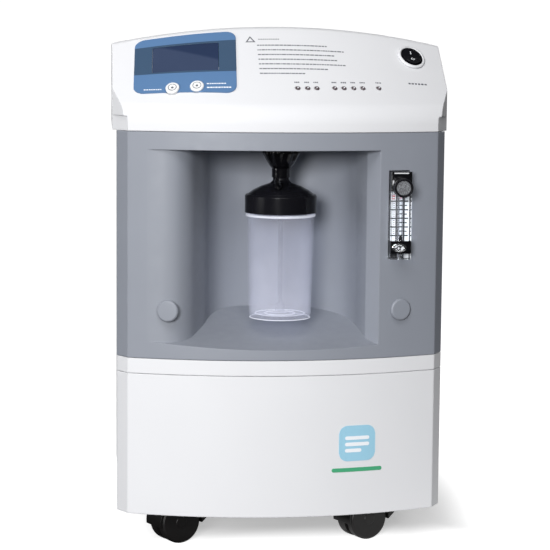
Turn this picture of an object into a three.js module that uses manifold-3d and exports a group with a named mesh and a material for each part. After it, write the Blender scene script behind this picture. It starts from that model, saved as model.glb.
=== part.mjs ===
// A stationary oxygen concentrator on four swivel casters, in millimetres, +Z up, front towards -Y.
// The origin is at the middle of the whole object's footprint, on the floor.
// Each mesh is one separate physical piece, closed and faceted.

import * as THREE from 'three';
import { mergeVertices } from 'three/addons/utils/BufferGeometryUtils.js';
import { TessellateModifier } from 'three/addons/modifiers/TessellateModifier.js';
import Module from 'manifold-3d';

const wasm = await Module();
wasm.setup();

// ---------------------------------------------------------------- driving dimensions

const GAP = 0.3; // clearance between neighbouring pieces
const WALL = 3; // moulded wall

const FRONT_Y = -177.5; // foremost line of the bowed front
const REAR_Y = 187.5;
const BOW = 36; // how far the front falls back from the middle to its upright edges
const BEVEL_DEPTH = 18; // depth of the upright bevel at each front corner
const EDGE_X = 172; // half width of the body between its upright front edges
const BODY_X = 183; // half width of the body behind the bevel
const BODY_REAR_X = 171;
const CAP_EDGE_X = 178; // half width of the cap between its upright front edges
const CAP_BAND_EDGE_X = 174; // the same on the band round the cap's foot
const CAP_BAND_Z = 503;
const CAP_X = 187.5;
const CAP_REAR_X = 177.5;
const BODY_SETBACK = 0.5; // the cap stands this far proud of the body
const REAR_HALF = 146; // half width of the flat rear cover

const BASE_Z = 61; // underside of the covers
const BELT_Z = 219.5;
const PANEL_Z = 236;
const CAP_Z = 486;
const TOP_Z = 600;

// the cap's side profile: an upright fascia, a round bend, a slope at 45 degrees and a rounded crest
const FASCIA_TOP_Z = 494;
const BEND_R = 34;
const CREST_R = 12;
const CAP_REAR_R = 14;
const TOP_FALL = 6; // fall of the top from the crest to the rear
const ARCH = 20; // drop of the crest from the middle to the sides
const SLOPE_Z = 512; // level from which distances up the slope are counted
const SLOPE_SETBACK = 4;
const DIAGONAL = Math.SQRT1_2;

// the open bay for the humidifier bottle
const BAY_TOP_Z = 466;
const BAY_FLOOR_Z = 247.5; // front edge of the sloping floor
const BAY_FLOOR_SLOPE = 0.28;
const BAY_BACK_Y = -55;

const BOTTLE = { x: -1, y: -122 }; // axis of the humidifier
const FLOWMETER = { x: 126, bottom: 347, top: 443.5, width: 23, frontY: -172.5 };
const KNOB_Z = 426.5;

// ---------------------------------------------------------------- materials

function plastic(color, roughness = 0.5) {
  return new THREE.MeshStandardMaterial({ color, roughness, metalness: 0 });
}

function metal(color, roughness = 0.4) {
  return new THREE.MeshStandardMaterial({ color, roughness, metalness: 1 });
}

const WHITE = plastic(0xeceef1, 0.45);
const GREY = plastic(0x8b9096, 0.55);
const BLACK = plastic(0x16171a, 0.35);
const BLUE = plastic(0x5c8cb9, 0.3);
const SCREEN = plastic(0x343f5c, 0.1);
const BOARD_GREEN = plastic(0x1f5a3c, 0.6);
const CLEAR = new THREE.MeshStandardMaterial({ color: 0xe6ecf0, roughness: 0.08, transparent: true, opacity: 0.35 });
const MILKY = new THREE.MeshStandardMaterial({ color: 0xe4e6f0, roughness: 0.3, transparent: true, opacity: 0.55 });
const RUBBER = plastic(0x222222, 0.9);
const HOSE = plastic(0xd8d4c8, 0.6);
const FOAM = plastic(0x2b2d30, 1);
const STEEL = metal(0xa7abb0, 0.35);
const ALUMINIUM = metal(0xc6c9cc, 0.45);
const CAST = metal(0x6f7478, 0.6);
const PAINTED = plastic(0x3c3f44, 0.5);

// ---------------------------------------------------------------- geometry helpers

function signedVolume(position, index) {
  const [a, b, c] = [new THREE.Vector3(), new THREE.Vector3(), new THREE.Vector3()];
  let volume = 0;
  for (let i = 0; i < index.length; i += 3) {
    a.fromArray(position, 3 * index[i]);
    b.fromArray(position, 3 * index[i + 1]);
    c.fromArray(position, 3 * index[i + 2]);
    volume += a.dot(b.cross(c)) / 6;
  }
  return volume;
}

// Shares the vertices of a geometry, drops its empty triangles and turns its faces outwards.
function closed(geometry) {
  const bare = geometry.clone();
  for (const name of Object.keys(bare.attributes)) {
    if (name !== 'position') bare.deleteAttribute(name);
  }
  const merged = mergeVertices(bare, 1e-4);
  const source = merged.index.array;
  let index = [];
  for (let i = 0; i < source.length; i += 3) {
    const [a, b, c] = [source[i], source[i + 1], source[i + 2]];
    if (a !== b && b !== c && c !== a) index.push(a, b, c);
  }
  if (signedVolume(merged.attributes.position.array, index) < 0) index = index.reverse();
  merged.setIndex(index);
  return merged;
}

function solid(geometry) {
  const mesh = closed(geometry);
  return new wasm.Manifold(
    new wasm.Mesh({
      numProp: 3,
      vertProperties: Float32Array.from(mesh.attributes.position.array),
      triVerts: Uint32Array.from(mesh.index.array),
    }),
  );
}

function toGeometry(body) {
  const mesh = body.getMesh();
  const geometry = new THREE.BufferGeometry();
  geometry.setAttribute('position', new THREE.BufferAttribute(Float32Array.from(mesh.vertProperties), 3));
  geometry.setIndex(new THREE.BufferAttribute(Uint32Array.from(mesh.triVerts), 1));
  return geometry;
}

const join = (first, ...others) => others.reduce((sum, next) => sum.add(next), first);
const cut = (first, ...others) => others.reduce((rest, next) => rest.subtract(next), first);

function shapeOf(points) {
  return new THREE.Shape(points.map(([u, v]) => new THREE.Vector2(u, v)));
}

function extrude(points, depth, steps = 1) {
  return new THREE.ExtrudeGeometry(shapeOf(points), { depth, steps, bevelEnabled: false });
}

// An outline in X and Y, raised from z0 to z1.
function prismZ(points, z0, z1) {
  return extrude(points, z1 - z0).translate(0, 0, z0);
}

// An outline in Y and Z, carried along X from x0 to x1.
function prismX(points, x0, x1, steps = 1) {
  const swap = new THREE.Matrix4().makeBasis(
    new THREE.Vector3(0, 1, 0),
    new THREE.Vector3(0, 0, 1),
    new THREE.Vector3(1, 0, 0),
  );
  return extrude(points, x1 - x0, steps)
    .applyMatrix4(swap)
    .translate(x0, 0, 0);
}

// An outline in X and Z, carried along Y from y0 to y1.
function prismY(points, y0, y1) {
  return extrude(points, y1 - y0)
    .rotateX(Math.PI / 2)
    .translate(0, y1, 0);
}

function box(x0, x1, y0, y1, z0, z1) {
  const geometry = new THREE.BoxGeometry(x1 - x0, y1 - y0, z1 - z0);
  return geometry.translate((x0 + x1) / 2, (y0 + y1) / 2, (z0 + z1) / 2);
}

// A body of revolution about the Z axis from [radius, z] points.
function turned(points, segments = 20) {
  const profile = points.map(([r, z]) => new THREE.Vector2(r, z));
  return new THREE.LatheGeometry(profile, segments).rotateX(Math.PI / 2);
}

function rod(radius, z0, z1, segments = 16) {
  const points = [
    [0, z0],
    [radius, z0],
    [radius, z1],
    [0, z1],
  ];
  return turned(points, segments);
}

function ring(inner, outer, z0, z1, segments = 20) {
  const points = [
    [inner, z0],
    [outer, z0],
    [outer, z1],
    [inner, z1],
    [inner, z0],
  ];
  return turned(points, segments);
}

// Turns a piece made about Z so that its axis lies along Y, with its z pointing to -Y (the front).
const facingFront = (geometry) => geometry.rotateX(Math.PI / 2);

// Turns a piece made about Z so that its axis lies along X.
const alongX = (geometry) => geometry.rotateY(Math.PI / 2);

function arc(centreU, centreV, radius, fromDegrees, toDegrees, count) {
  const points = [];
  for (let i = 0; i <= count; i += 1) {
    const angle = THREE.MathUtils.degToRad(fromDegrees + ((toDegrees - fromDegrees) * i) / count);
    points.push([centreU + radius * Math.cos(angle), centreV + radius * Math.sin(angle)]);
  }
  return points;
}

function roundedRectangle(x0, x1, y0, y1, radius, count = 3) {
  return [
    ...arc(x1 - radius, y1 - radius, radius, 0, 90, count),
    ...arc(x0 + radius, y1 - radius, radius, 90, 180, count),
    ...arc(x0 + radius, y0 + radius, radius, 180, 270, count),
    ...arc(x1 - radius, y0 + radius, radius, 270, 360, count),
  ];
}

// Moves an open outline sideways by a distance, to the left of its direction when positive.
function offsetLine(points, distance) {
  return points.map((point, i) => {
    const before = points[Math.max(i - 1, 0)];
    const after = points[Math.min(i + 1, points.length - 1)];
    const along = new THREE.Vector2(after[0] - before[0], after[1] - before[1]).normalize();
    return [point[0] - along.y * distance, point[1] + along.x * distance];
  });
}

function hose(points, radius, tubularSteps) {
  const path = new THREE.CatmullRomCurve3(points.map((p) => new THREE.Vector3(...p)));
  const section = new THREE.Shape(
    arc(0, 0, radius, 0, 315, 7).map(([u, v]) => new THREE.Vector2(u, v)),
  );
  return new THREE.ExtrudeGeometry(section, { steps: tubularSteps, extrudePath: path });
}

const model = new THREE.Group();

function addPiece(name, shape, material, matrix) {
  const geometry = shape.isBufferGeometry ? closed(shape) : toGeometry(shape);
  const mesh = new THREE.Mesh(geometry, material);
  mesh.name = name;
  if (matrix) matrix.decompose(mesh.position, mesh.quaternion, mesh.scale);
  model.add(mesh);
  return mesh;
}

// ---------------------------------------------------------------- the cabinet's outline in plan

function frontY(x) {
  return FRONT_Y + BOW * (x / EDGE_X) ** 2;
}

function bowLine(halfWidth, inset, count = 16) {
  const points = [];
  for (let i = 0; i <= count; i += 1) {
    const x = halfWidth * ((2 * i) / count - 1);
    points.push([x, frontY(x) + inset]);
  }
  return points;
}

const BEVEL_END_Y = frontY(EDGE_X) + BODY_SETBACK + BEVEL_DEPTH;

// The bowed front wall of the body with its two bevels, as a band of one wall thickness.
function frontBand(thickness) {
  const outer = [
    [-BODY_X, BEVEL_END_Y],
    ...bowLine(EDGE_X, BODY_SETBACK),
    [BODY_X, BEVEL_END_Y],
  ];
  const inner = [
    [-BODY_X + thickness, BEVEL_END_Y],
    ...bowLine(EDGE_X - thickness / 2, BODY_SETBACK + thickness),
    [BODY_X - thickness, BEVEL_END_Y],
  ];
  return [...outer, ...inner.reverse()];
}

// The cap's outline in plan, drawn in by an inset, from the given upright front edges.
function capOutline(edgeX, inset) {
  const rearRadius = 26 - inset;
  const sideX = CAP_REAR_X - inset;
  const rearY = REAR_Y - inset;
  const corner = arc(sideX - rearRadius, rearY - rearRadius, rearRadius, 0, 90, 6);
  const half = [
    [edgeX - inset / 2, FRONT_Y - 20],
    [edgeX - inset / 2, frontY(edgeX)],
    [CAP_X - inset, frontY(EDGE_X) + BEVEL_DEPTH],
    ...corner,
  ];
  const mirrored = half.map(([x, y]) => [-x, y]).reverse();
  return [...half, ...mirrored];
}

// ---------------------------------------------------------------- the cap's curved top

const CREST_Z = TOP_Z - CREST_R; // centre of the crest's round
const CREST_Y = FRONT_Y + SLOPE_SETBACK + (CREST_Z - SLOPE_Z) + 2 * CREST_R * DIAGONAL;
const REAR_TOP_Z = TOP_Z - TOP_FALL;

// The cap's side profile in Y and Z at the middle of the cabinet, drawn in by an inset.
function capProfile(inset) {
  return [
    [FRONT_Y + inset, CAP_Z],
    ...arc(FRONT_Y + BEND_R, FASCIA_TOP_Z, BEND_R - inset, 180, 135, 5),
    ...arc(CREST_Y, CREST_Z, CREST_R - inset, 135, 91, 3),
    ...arc(REAR_Y - CAP_REAR_R, REAR_TOP_Z - CAP_REAR_R, CAP_REAR_R - inset, 90, 0, 3),
    [REAR_Y - inset, CAP_Z],
  ];
}

// Bows the front and arches the crest: a straight profile becomes the cap's curved one.
function bendPoint(point) {
  const rise = THREE.MathUtils.clamp((point.z - SLOPE_Z) / (TOP_Z - SLOPE_Z), 0, 1);
  const back = THREE.MathUtils.clamp((point.y - CREST_Y) / (REAR_Y - CREST_Y), 0, 1);
  const drop = ARCH * (point.x / CAP_X) ** 2 * rise;
  const bow = BOW * (point.x / EDGE_X) ** 2;
  point.y += (bow - drop) * (1 - back);
  point.z -= drop;
  return point;
}

function bend(geometry) {
  const position = geometry.attributes.position;
  const point = new THREE.Vector3();
  for (let i = 0; i < position.count; i += 1) {
    bendPoint(point.fromBufferAttribute(position, i));
    position.setXYZ(i, point.x, point.y, point.z);
  }
  return geometry;
}

// A point on the slope: x across, s up the slope from SLOPE_Z, lift off the surface.
function slopePoint(x, s, lift) {
  const y = FRONT_Y + SLOPE_SETBACK + (s - lift) * DIAGONAL;
  const z = SLOPE_Z + (s + lift) * DIAGONAL;
  return bendPoint(new THREE.Vector3(x, y, z));
}

// The frame of a control on the slope: X across, Y up the slope, Z out of the surface.
function slopeFrame(x, s) {
  const origin = slopePoint(x, s, 0);
  const across = slopePoint(x + 1, s, 0).sub(slopePoint(x - 1, s, 0)).normalize();
  const up = slopePoint(x, s + 1, 0).sub(slopePoint(x, s - 1, 0));
  const out = new THREE.Vector3().crossVectors(across, up).normalize();
  up.crossVectors(out, across);
  return new THREE.Matrix4().makeBasis(across, up, out).setPosition(origin);
}

// A thin sheet on the slope from an outline in x and s, between two lifts, bent to the surface.
function slopeSheet(shape, lowLift, highLift, cell = 40) {
  const flat = new THREE.ExtrudeGeometry(shape, { depth: highLift - lowLift, bevelEnabled: false });
  const fine = new TessellateModifier(cell, 8).modify(flat);
  const position = fine.attributes.position;
  for (let i = 0; i < position.count; i += 1) {
    const point = slopePoint(position.getX(i), position.getY(i), lowLift + position.getZ(i));
    position.setXYZ(i, point.x, point.y, point.z);
  }
  return fine;
}

// ---------------------------------------------------------------- controls: places on the slope

const OVERLAY = { left: -163, right: -52, bottom: 22.5, top: 117.5, corner: 11 };
const SCREEN_WINDOW = { left: -143.5, right: -71, bottom: 57.5, top: 101 };
const BUTTONS = [
  { name: 'button_left', x: -122.8, s: 30 },
  { name: 'button_right', x: -96.4, s: 32.5 },
];
const BUTTON_R = 7.7;
const LAMP_RISE = 21.5; // height of the row of lamps above SLOPE_Z
const LAMP_XS = [13, 24, 34.2, 54.5, 64.8, 76, 86.5, 105];
const LAMP_R = 2.6;
const SWITCH = { x: 149, s: 90, rockerR: 11.2, holeR: 14.5 };
const ROCKER = { pivot: -1, halfThrow: THREE.MathUtils.degToRad(8) };

// The distance up the slope at which a point at x stands a given height above SLOPE_Z.
function slopeDistance(x, height) {
  const arch = (ARCH / (TOP_Z - SLOPE_Z)) * (x / CAP_X) ** 2;
  return height / DIAGONAL / (1 - arch);
}

function buildCap(gripCutters) {
  const outside = solid(bend(prismX(capProfile(0), -CAP_X, CAP_X, 16)));
  const inside = solid(bend(prismX(capProfile(WALL), -CAP_X, CAP_X, 8)));
  const upper = solid(prismZ(capOutline(CAP_EDGE_X, 0), CAP_BAND_Z - 1, TOP_Z + 5));
  const band = solid(prismZ(capOutline(CAP_BAND_EDGE_X, 0), CAP_Z, CAP_BAND_Z));
  const outer = outside.intersect(join(upper, band));
  const inner = inside.intersect(solid(prismZ(capOutline(CAP_BAND_EDGE_X, WALL), CAP_Z - 5, TOP_Z)));
  const open = solid(box(-EDGE_X, EDGE_X, frontY(EDGE_X) + 4, REAR_Y - WALL - 3, CAP_Z - 2, CAP_Z + 2));
  const cutters = [inner, open, ...gripCutters];
  const window = box(
    SCREEN_WINDOW.left + 4,
    SCREEN_WINDOW.right - 4,
    SCREEN_WINDOW.bottom + 4,
    SCREEN_WINDOW.top - 4,
    -12,
    8,
  );
  const middle = slopeFrame((SCREEN_WINDOW.left + SCREEN_WINDOW.right) / 2, 0);
  window.translate(-(SCREEN_WINDOW.left + SCREEN_WINDOW.right) / 2, 0, 0);
  cutters.push(solid(window.applyMatrix4(middle)));
  const holes = [
    ...BUTTONS.map(({ x, s }) => ({ x, s, r: BUTTON_R + 0.8 })),
    ...LAMP_XS.map((x) => ({ x, s: slopeDistance(x, LAMP_RISE), r: LAMP_R + 0.4 })),
    { x: SWITCH.x, s: SWITCH.s, r: SWITCH.holeR },
  ];
  for (const { x, s, r } of holes) {
    cutters.push(solid(rod(r, -9, 9, r > 5 ? 20 : 8).applyMatrix4(slopeFrame(x, s))));
  }
  return { cap: cut(outer, ...cutters), outer };
}

// ---------------------------------------------------------------- hand grips in the cap's sides

const GRIP = { low: 506, high: 534, frontY: -98, rearY: 12, innerX: 160 };

// The pocket's outline in plan on the right-hand side, grown by a margin.
function gripOutline(margin) {
  const x = GRIP.innerX - margin;
  return [
    [x + 8, GRIP.frontY - margin],
    [x, GRIP.frontY + 10],
    [x, GRIP.rearY - 10],
    [x + 8, GRIP.rearY + margin],
    [CAP_X + 12, GRIP.rearY + margin],
    [CAP_X + 12, GRIP.frontY - margin],
  ];
}

function gripBlock(side, margin) {
  const right = prismZ(gripOutline(margin), GRIP.low - margin, GRIP.high + margin);
  return solid(side > 0 ? right : right.scale(-1, 1, 1));
}

const GRIP_WALL = 2.2;
const SIDES = [
  { side: -1, word: 'left' },
  { side: 1, word: 'right' },
];

const { cap, outer: capOuter } = buildCap(SIDES.map(({ side }) => gripBlock(side, GRIP_WALL + GAP)));
addPiece('top_cap', cap, WHITE);
for (const { side, word } of SIDES) {
  const cup = gripBlock(side, GRIP_WALL).intersect(capOuter).subtract(gripBlock(side, 0));
  addPiece(`grip_${word}`, cup, WHITE);
}

// ---------------------------------------------------------------- display, buttons, lamps, switch

function overlayShape() {
  const { left, right, bottom, top, corner } = OVERLAY;
  const shape = shapeOf(roundedRectangle(left, right, bottom, top, corner));
  const w = SCREEN_WINDOW;
  const window = roundedRectangle(w.left, w.right, w.bottom, w.top, 1.5, 2);
  shape.holes.push(new THREE.Path(window.map(([u, v]) => new THREE.Vector2(u, v))));
  return shape;
}

function overlaySheet() {
  const holes = BUTTONS.map(({ x, s }) => solid(rod(BUTTON_R + 0.5, -3, 4, 20).applyMatrix4(slopeFrame(x, s))));
  return cut(solid(slopeSheet(overlayShape(), GAP, 1.3)), ...holes);
}

function buildControls() {
  addPiece('display_overlay', overlaySheet(), BLUE);

  const w = SCREEN_WINDOW;
  const glass = roundedRectangle(w.left + GAP, w.right - GAP, w.bottom + GAP, w.top - GAP, 1.2, 2);
  addPiece('lcd_window', slopeSheet(shapeOf(glass), GAP, 0.9), SCREEN);

  const boardFrame = slopeFrame((w.left + w.right) / 2, (w.bottom + w.top) / 2);
  const board = box(-42, 42, -30, 27, -13, -11.4);
  const module = box(-34, 34, -18, 18, -11.6, -6.5);
  addPiece('display_board', join(solid(board), solid(module)), BOARD_GREEN, boardFrame);

  const button = turned([
    [0, -4],
    [BUTTON_R, -4],
    [BUTTON_R, 2.2],
    [BUTTON_R - 0.8, 3],
    [2.6, 3],
    [2.2, 2.6],
    [0, 2.6],
  ]);
  for (const { name, x, s } of BUTTONS) {
    addPiece(name, button, WHITE, slopeFrame(x, s));
  }

  const first = LAMP_XS[0] - 6;
  const last = LAMP_XS[LAMP_XS.length - 1] + 6;
  const boardLine = [first, (first + last) / 2, last].map((x) => [x, slopeDistance(x, LAMP_RISE)]);
  const stripOutline = [...offsetLine(boardLine, -5), ...offsetLine(boardLine, 5).reverse()];
  const strip = slopeSheet(shapeOf(stripOutline), -6.5, -5);
  const lamp = turned([[0, -6], [LAMP_R, -6], [LAMP_R, 0.2], [LAMP_R * 0.7, 1], [0, 1.2]], 8);
  const lamps = LAMP_XS.map((x) => solid(lamp.clone().applyMatrix4(slopeFrame(x, slopeDistance(x, LAMP_RISE)))));
  addPiece('lamp_strip', join(solid(strip), ...lamps), BOARD_GREEN);

  const bezel = turned([
    [SWITCH.rockerR + 0.8, -8],
    [SWITCH.holeR - GAP, -8],
    [SWITCH.holeR - GAP, 0.6],
    [SWITCH.holeR + 2, 0.6],
    [SWITCH.holeR + 1.7, 2.2],
    [SWITCH.holeR - 0.4, 3],
    [SWITCH.rockerR + 0.8, 2.6],
    [SWITCH.rockerR + 0.8, -8],
  ]);
  addPiece('switch_bezel', bezel, WHITE, slopeFrame(SWITCH.x, SWITCH.s));

  // A round rocker with a shallow V across its top, resting with its upper half pressed in.
  const barrel = solid(rod(SWITCH.rockerR - 0.5, -6, 5));
  const crown = solid(
    prismX([[-16, -4], [16, -4], [16, 5.2], [9, 3.6], [0, 2], [-9, 3.6], [-16, 5.2]], -16, 16),
  );
  const tilt = new THREE.Matrix4()
    .makeTranslation(0, 0, ROCKER.pivot)
    .multiply(new THREE.Matrix4().makeRotationX(-ROCKER.halfThrow))
    .multiply(new THREE.Matrix4().makeTranslation(0, 0, -ROCKER.pivot));
  const rocker = toGeometry(barrel.intersect(crown)).applyMatrix4(tilt);
  addPiece('power_rocker', rocker, BLACK, slopeFrame(SWITCH.x, SWITCH.s));
}
buildControls();

// ---------------------------------------------------------------- white covers

function buildCovers() {
  const skirt = solid(prismZ(frontBand(WALL), BASE_Z, BELT_Z - 1));
  const lip = solid(prismZ(frontBand(14), BASE_Z, BASE_Z + 2.5));
  addPiece('lower_front_cover', join(skirt, lip), WHITE);

  const beltBand = solid(prismZ(frontBand(WALL), BELT_Z, PANEL_Z));
  const tongue = solid(prismZ(bowStrip(WALL + 0.4, WALL + 2.8), BELT_Z - 8, BELT_Z + 4));
  const root = solid(prismZ(bowStrip(WALL - 1, WALL + 2.8), BELT_Z + 1, BELT_Z + 4));
  addPiece('front_belt', join(beltBand, root, tongue), WHITE);

  for (const { side, word } of SIDES) {
    const cover = sideCover(side);
    addPiece(`side_cover_${word}`, cover, WHITE);
  }
}

// A strip along the bow, for the belt's inner tongue, which reaches down behind the lower cover.
function bowStrip(nearInset, farInset) {
  const near = bowLine(EDGE_X - 12, BODY_SETBACK + nearInset, 12);
  const far = bowLine(EDGE_X - 12, BODY_SETBACK + farInset, 12);
  return [...near, ...far.reverse()];
}

// A side cover runs back from the front mouldings, drawing in, and turns the rear corner.
function sideCover(side) {
  const cornerR = 20;
  const startY = BEVEL_END_Y + GAP;
  const outer = [
    [BODY_X - 3, startY],
    ...arc(BODY_REAR_X - cornerR, REAR_Y - cornerR - 1, cornerR, 0, 90, 6),
    [REAR_HALF, REAR_Y - 1],
  ];
  const inner = offsetLine(outer, 2.5);
  const points = [...outer, ...inner.reverse()].map(([x, y]) => [side * x, y]);
  const shell = solid(prismZ(points, BASE_Z, CAP_Z - GAP));
  // the front edge turns in behind the front mouldings
  const flange = [
    [BODY_X - 5, startY],
    [BODY_X - 3, startY],
    [BODY_X - 3, startY + 2.5],
    [BODY_X - 18, startY + 2.5],
    [BODY_X - 18, startY],
  ].map(([x, y]) => [side * x, y]);
  return join(shell, solid(prismZ(flange, BASE_Z, CAP_Z - GAP)));
}

// ---------------------------------------------------------------- grey front panel with its bay

// The bay's wall in plan, from the front on the left, round the back, to the front on the right.
// The left side rolls in softly; the right side is a steep wall with a flared edge.
function bayLine() {
  const left = new THREE.SplineCurve(
    [
      [-158, frontY(-158) + 0.2],
      [-146, frontY(-146) + 1],
      [-130, frontY(-130) + 3.6],
      [-115, frontY(-115) + 10],
      [-103, frontY(-103) + 23],
      [-93, frontY(-93) + 44],
      [-84, -104],
      [-76, -83],
      [-64, -66],
      [-46, -57],
      [-22, BAY_BACK_Y],
    ].map((p) => new THREE.Vector2(...p)),
  );
  const right = new THREE.SplineCurve(
    [
      [10, BAY_BACK_Y],
      [34, -59],
      [58, -70],
      [76, -85],
      [85, -104],
      [89, -124],
      [92.5, -146],
    ].map((p) => new THREE.Vector2(...p)),
  );
  const points = [...left.getPoints(24), ...right.getPoints(12)].map((p) => [p.x, p.y]);
  return [...points, [104.5, frontY(104.5) - 0.6]];
}

function bayFloor(drop) {
  const level = (y) => BAY_FLOOR_Z + BAY_FLOOR_SLOPE * (y - FRONT_Y) - drop;
  return solid(
    prismX([[-260, 150], [0, 150], [0, level(0)], [FRONT_Y, level(FRONT_Y)], [-260, level(FRONT_Y)]], -170, 170),
  );
}

// The bay's space, closed in front of the panel, grown by a margin all round.
function baySpace(margin) {
  const wall = offsetLine(bayLine(), margin);
  const first = wall[0];
  const last = wall[wall.length - 1];
  const outline = [[first[0], FRONT_Y - 30], ...wall, [last[0], FRONT_Y - 30]];
  const block = solid(prismZ(outline, 200, BAY_TOP_Z + margin));
  return cut(block, bayFloor(margin));
}

const PLUGS = { x: 128.5, z: 290, r: 12 };

function buildFrontPanel() {
  const band = solid(prismZ(frontBand(WALL), PANEL_Z + GAP, CAP_Z - GAP));
  const behind = solid(
    prismZ([...bowLine(EDGE_X - 2, BODY_SETBACK + 0.02), [EDGE_X - 2, 0], [2 - EDGE_X, 0]], PANEL_Z + 1, CAP_Z - 1),
  );
  const liner = baySpace(WALL).intersect(behind);
  const f = FLOWMETER;
  const half = f.width / 2 + 0.5;
  const window = box(f.x - half, f.x + half, -190, -120, f.bottom - 0.5, f.top + 0.5);
  const outlet = rod(6.5, BAY_TOP_Z - 5, BAY_TOP_Z + 8).translate(BOTTLE.x, BOTTLE.y, 0);
  const cutters = [baySpace(0), solid(window), solid(outlet)];
  for (const { side } of SIDES) {
    cutters.push(solid(rod(3, -8, 8, 12).applyMatrix4(plugFrame(side))));
  }
  addPiece('front_mid_panel', cut(join(band, liner), ...cutters), GREY);

  // screw covers lie square to the bowed front
  const plug = turned([
    [0, -4],
    [2.6, -4],
    [2.6, 1.3],
    [PLUGS.r - 0.6, 1.3],
    [PLUGS.r, 2],
    [PLUGS.r, 3.4],
    [PLUGS.r - 1.4, 4.6],
    [0, 4.9],
  ]);
  for (const { side, word } of SIDES) {
    addPiece(`screw_cap_${word}`, plug, GREY, plugFrame(side));
  }
}

// The frame of a screw cover, square to the bowed front: Z out of the panel.
function plugFrame(side) {
  const x = side * PLUGS.x;
  const slope = (2 * BOW * x) / EDGE_X ** 2;
  return new THREE.Matrix4()
    .makeTranslation(x, frontY(x) + BODY_SETBACK, PLUGS.z)
    .multiply(new THREE.Matrix4().makeRotationZ(Math.atan(slope)))
    .multiply(new THREE.Matrix4().makeRotationX(Math.PI / 2));
}

buildCovers();
buildFrontPanel();

// ---------------------------------------------------------------- flowmeter

const TUBE = { x: FLOWMETER.x + 0.5, y: -164, r: 4, bottom: 366, top: 417 };
const BALL_R = 3.2;

function buildFlowmeter() {
  const f = FLOWMETER;
  const half = f.width / 2;
  const scaleY = f.frontY + 14.5;
  const body = solid(
    prismZ(
      [
        [f.x - half, scaleY],
        [f.x - half, f.frontY + 1.2],
        [f.x - half + 1.2, f.frontY],
        [f.x + half - 1.2, f.frontY],
        [f.x + half, f.frontY + 1.2],
        [f.x + half, scaleY],
      ],
      f.bottom,
      f.top,
    ),
  );
  const channel = solid(rod(TUBE.r, f.bottom - 2, TUBE.top, 20).translate(TUBE.x, TUBE.y, 0));
  const valveBore = solid(facingFront(rod(4.2, -40, 40, 20)).translate(f.x, 0, KNOB_Z).translate(0, f.frontY, 0));
  addPiece('flowmeter_body', cut(body, channel, valveBore), CLEAR);

  const fitting = turned([
    [0, f.bottom + GAP],
    [TUBE.r - GAP, f.bottom + GAP],
    [TUBE.r - GAP, TUBE.bottom - 4],
    [2.4, TUBE.bottom - 4],
    [2.4, TUBE.bottom],
    [0, TUBE.bottom],
  ], 20).translate(TUBE.x, TUBE.y, 0);
  addPiece('flowmeter_seat', fitting, STEEL);

  const ball = new THREE.SphereGeometry(BALL_R, 12, 8);
  ball.translate(TUBE.x, TUBE.y, TUBE.bottom + GAP + BALL_R);
  addPiece('flow_float', ball, BLACK);

  const plate = box(f.x - half + 1, f.x + half - 1, scaleY + GAP, scaleY + 1.3, TUBE.bottom - 2, TUBE.top + 5);
  addPiece('flowmeter_scale', plate, WHITE);

  const blockY = scaleY + 1.3 + GAP;
  const block = box(f.x - half, f.x + half, blockY, blockY + 14, f.bottom, f.top);
  const ports = [f.bottom + 14, f.top - 30].map((z) => {
    const port = facingFront(rod(3.6, 0, 14, 16)).rotateZ(Math.PI);
    return solid(port.translate(f.x, blockY + 13, z));
  });
  const seat = facingFront(rod(4.4, -12, 30, 20)).translate(f.x, blockY, KNOB_Z);
  addPiece('flowmeter_block', cut(join(solid(block), ...ports), solid(seat)), BLACK);

  // the knob turns on its own stem, which reaches back into the block's seat
  const knobR = 10.5;
  const knobDepth = f.frontY - FRONT_Y + 10;
  const profile = [
    [0, -14],
    [3.8, -14],
    [3.8, 1],
    [knobR - 1.5, 1],
    [knobR, 2],
    [knobR, knobDepth - 1],
    [knobR - 1, knobDepth],
    [7.8, knobDepth],
    [7.4, knobDepth - 1],
    [0, knobDepth - 1],
  ];
  const place = new THREE.Matrix4()
    .makeTranslation(f.x, f.frontY, KNOB_Z)
    .multiply(new THREE.Matrix4().makeRotationX(Math.PI / 2));
  addPiece('flow_knob', turned(profile, 20), BLACK, place);
}
buildFlowmeter();

// ---------------------------------------------------------------- humidifier

const JAR = { bottom: 276.5, top: 396, baseR: 34.5, mouthR: 37 };
const LID = { low: 395, rimTop: 415.5, r: 40, neckZ: 430, neckR: 9 };

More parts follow.
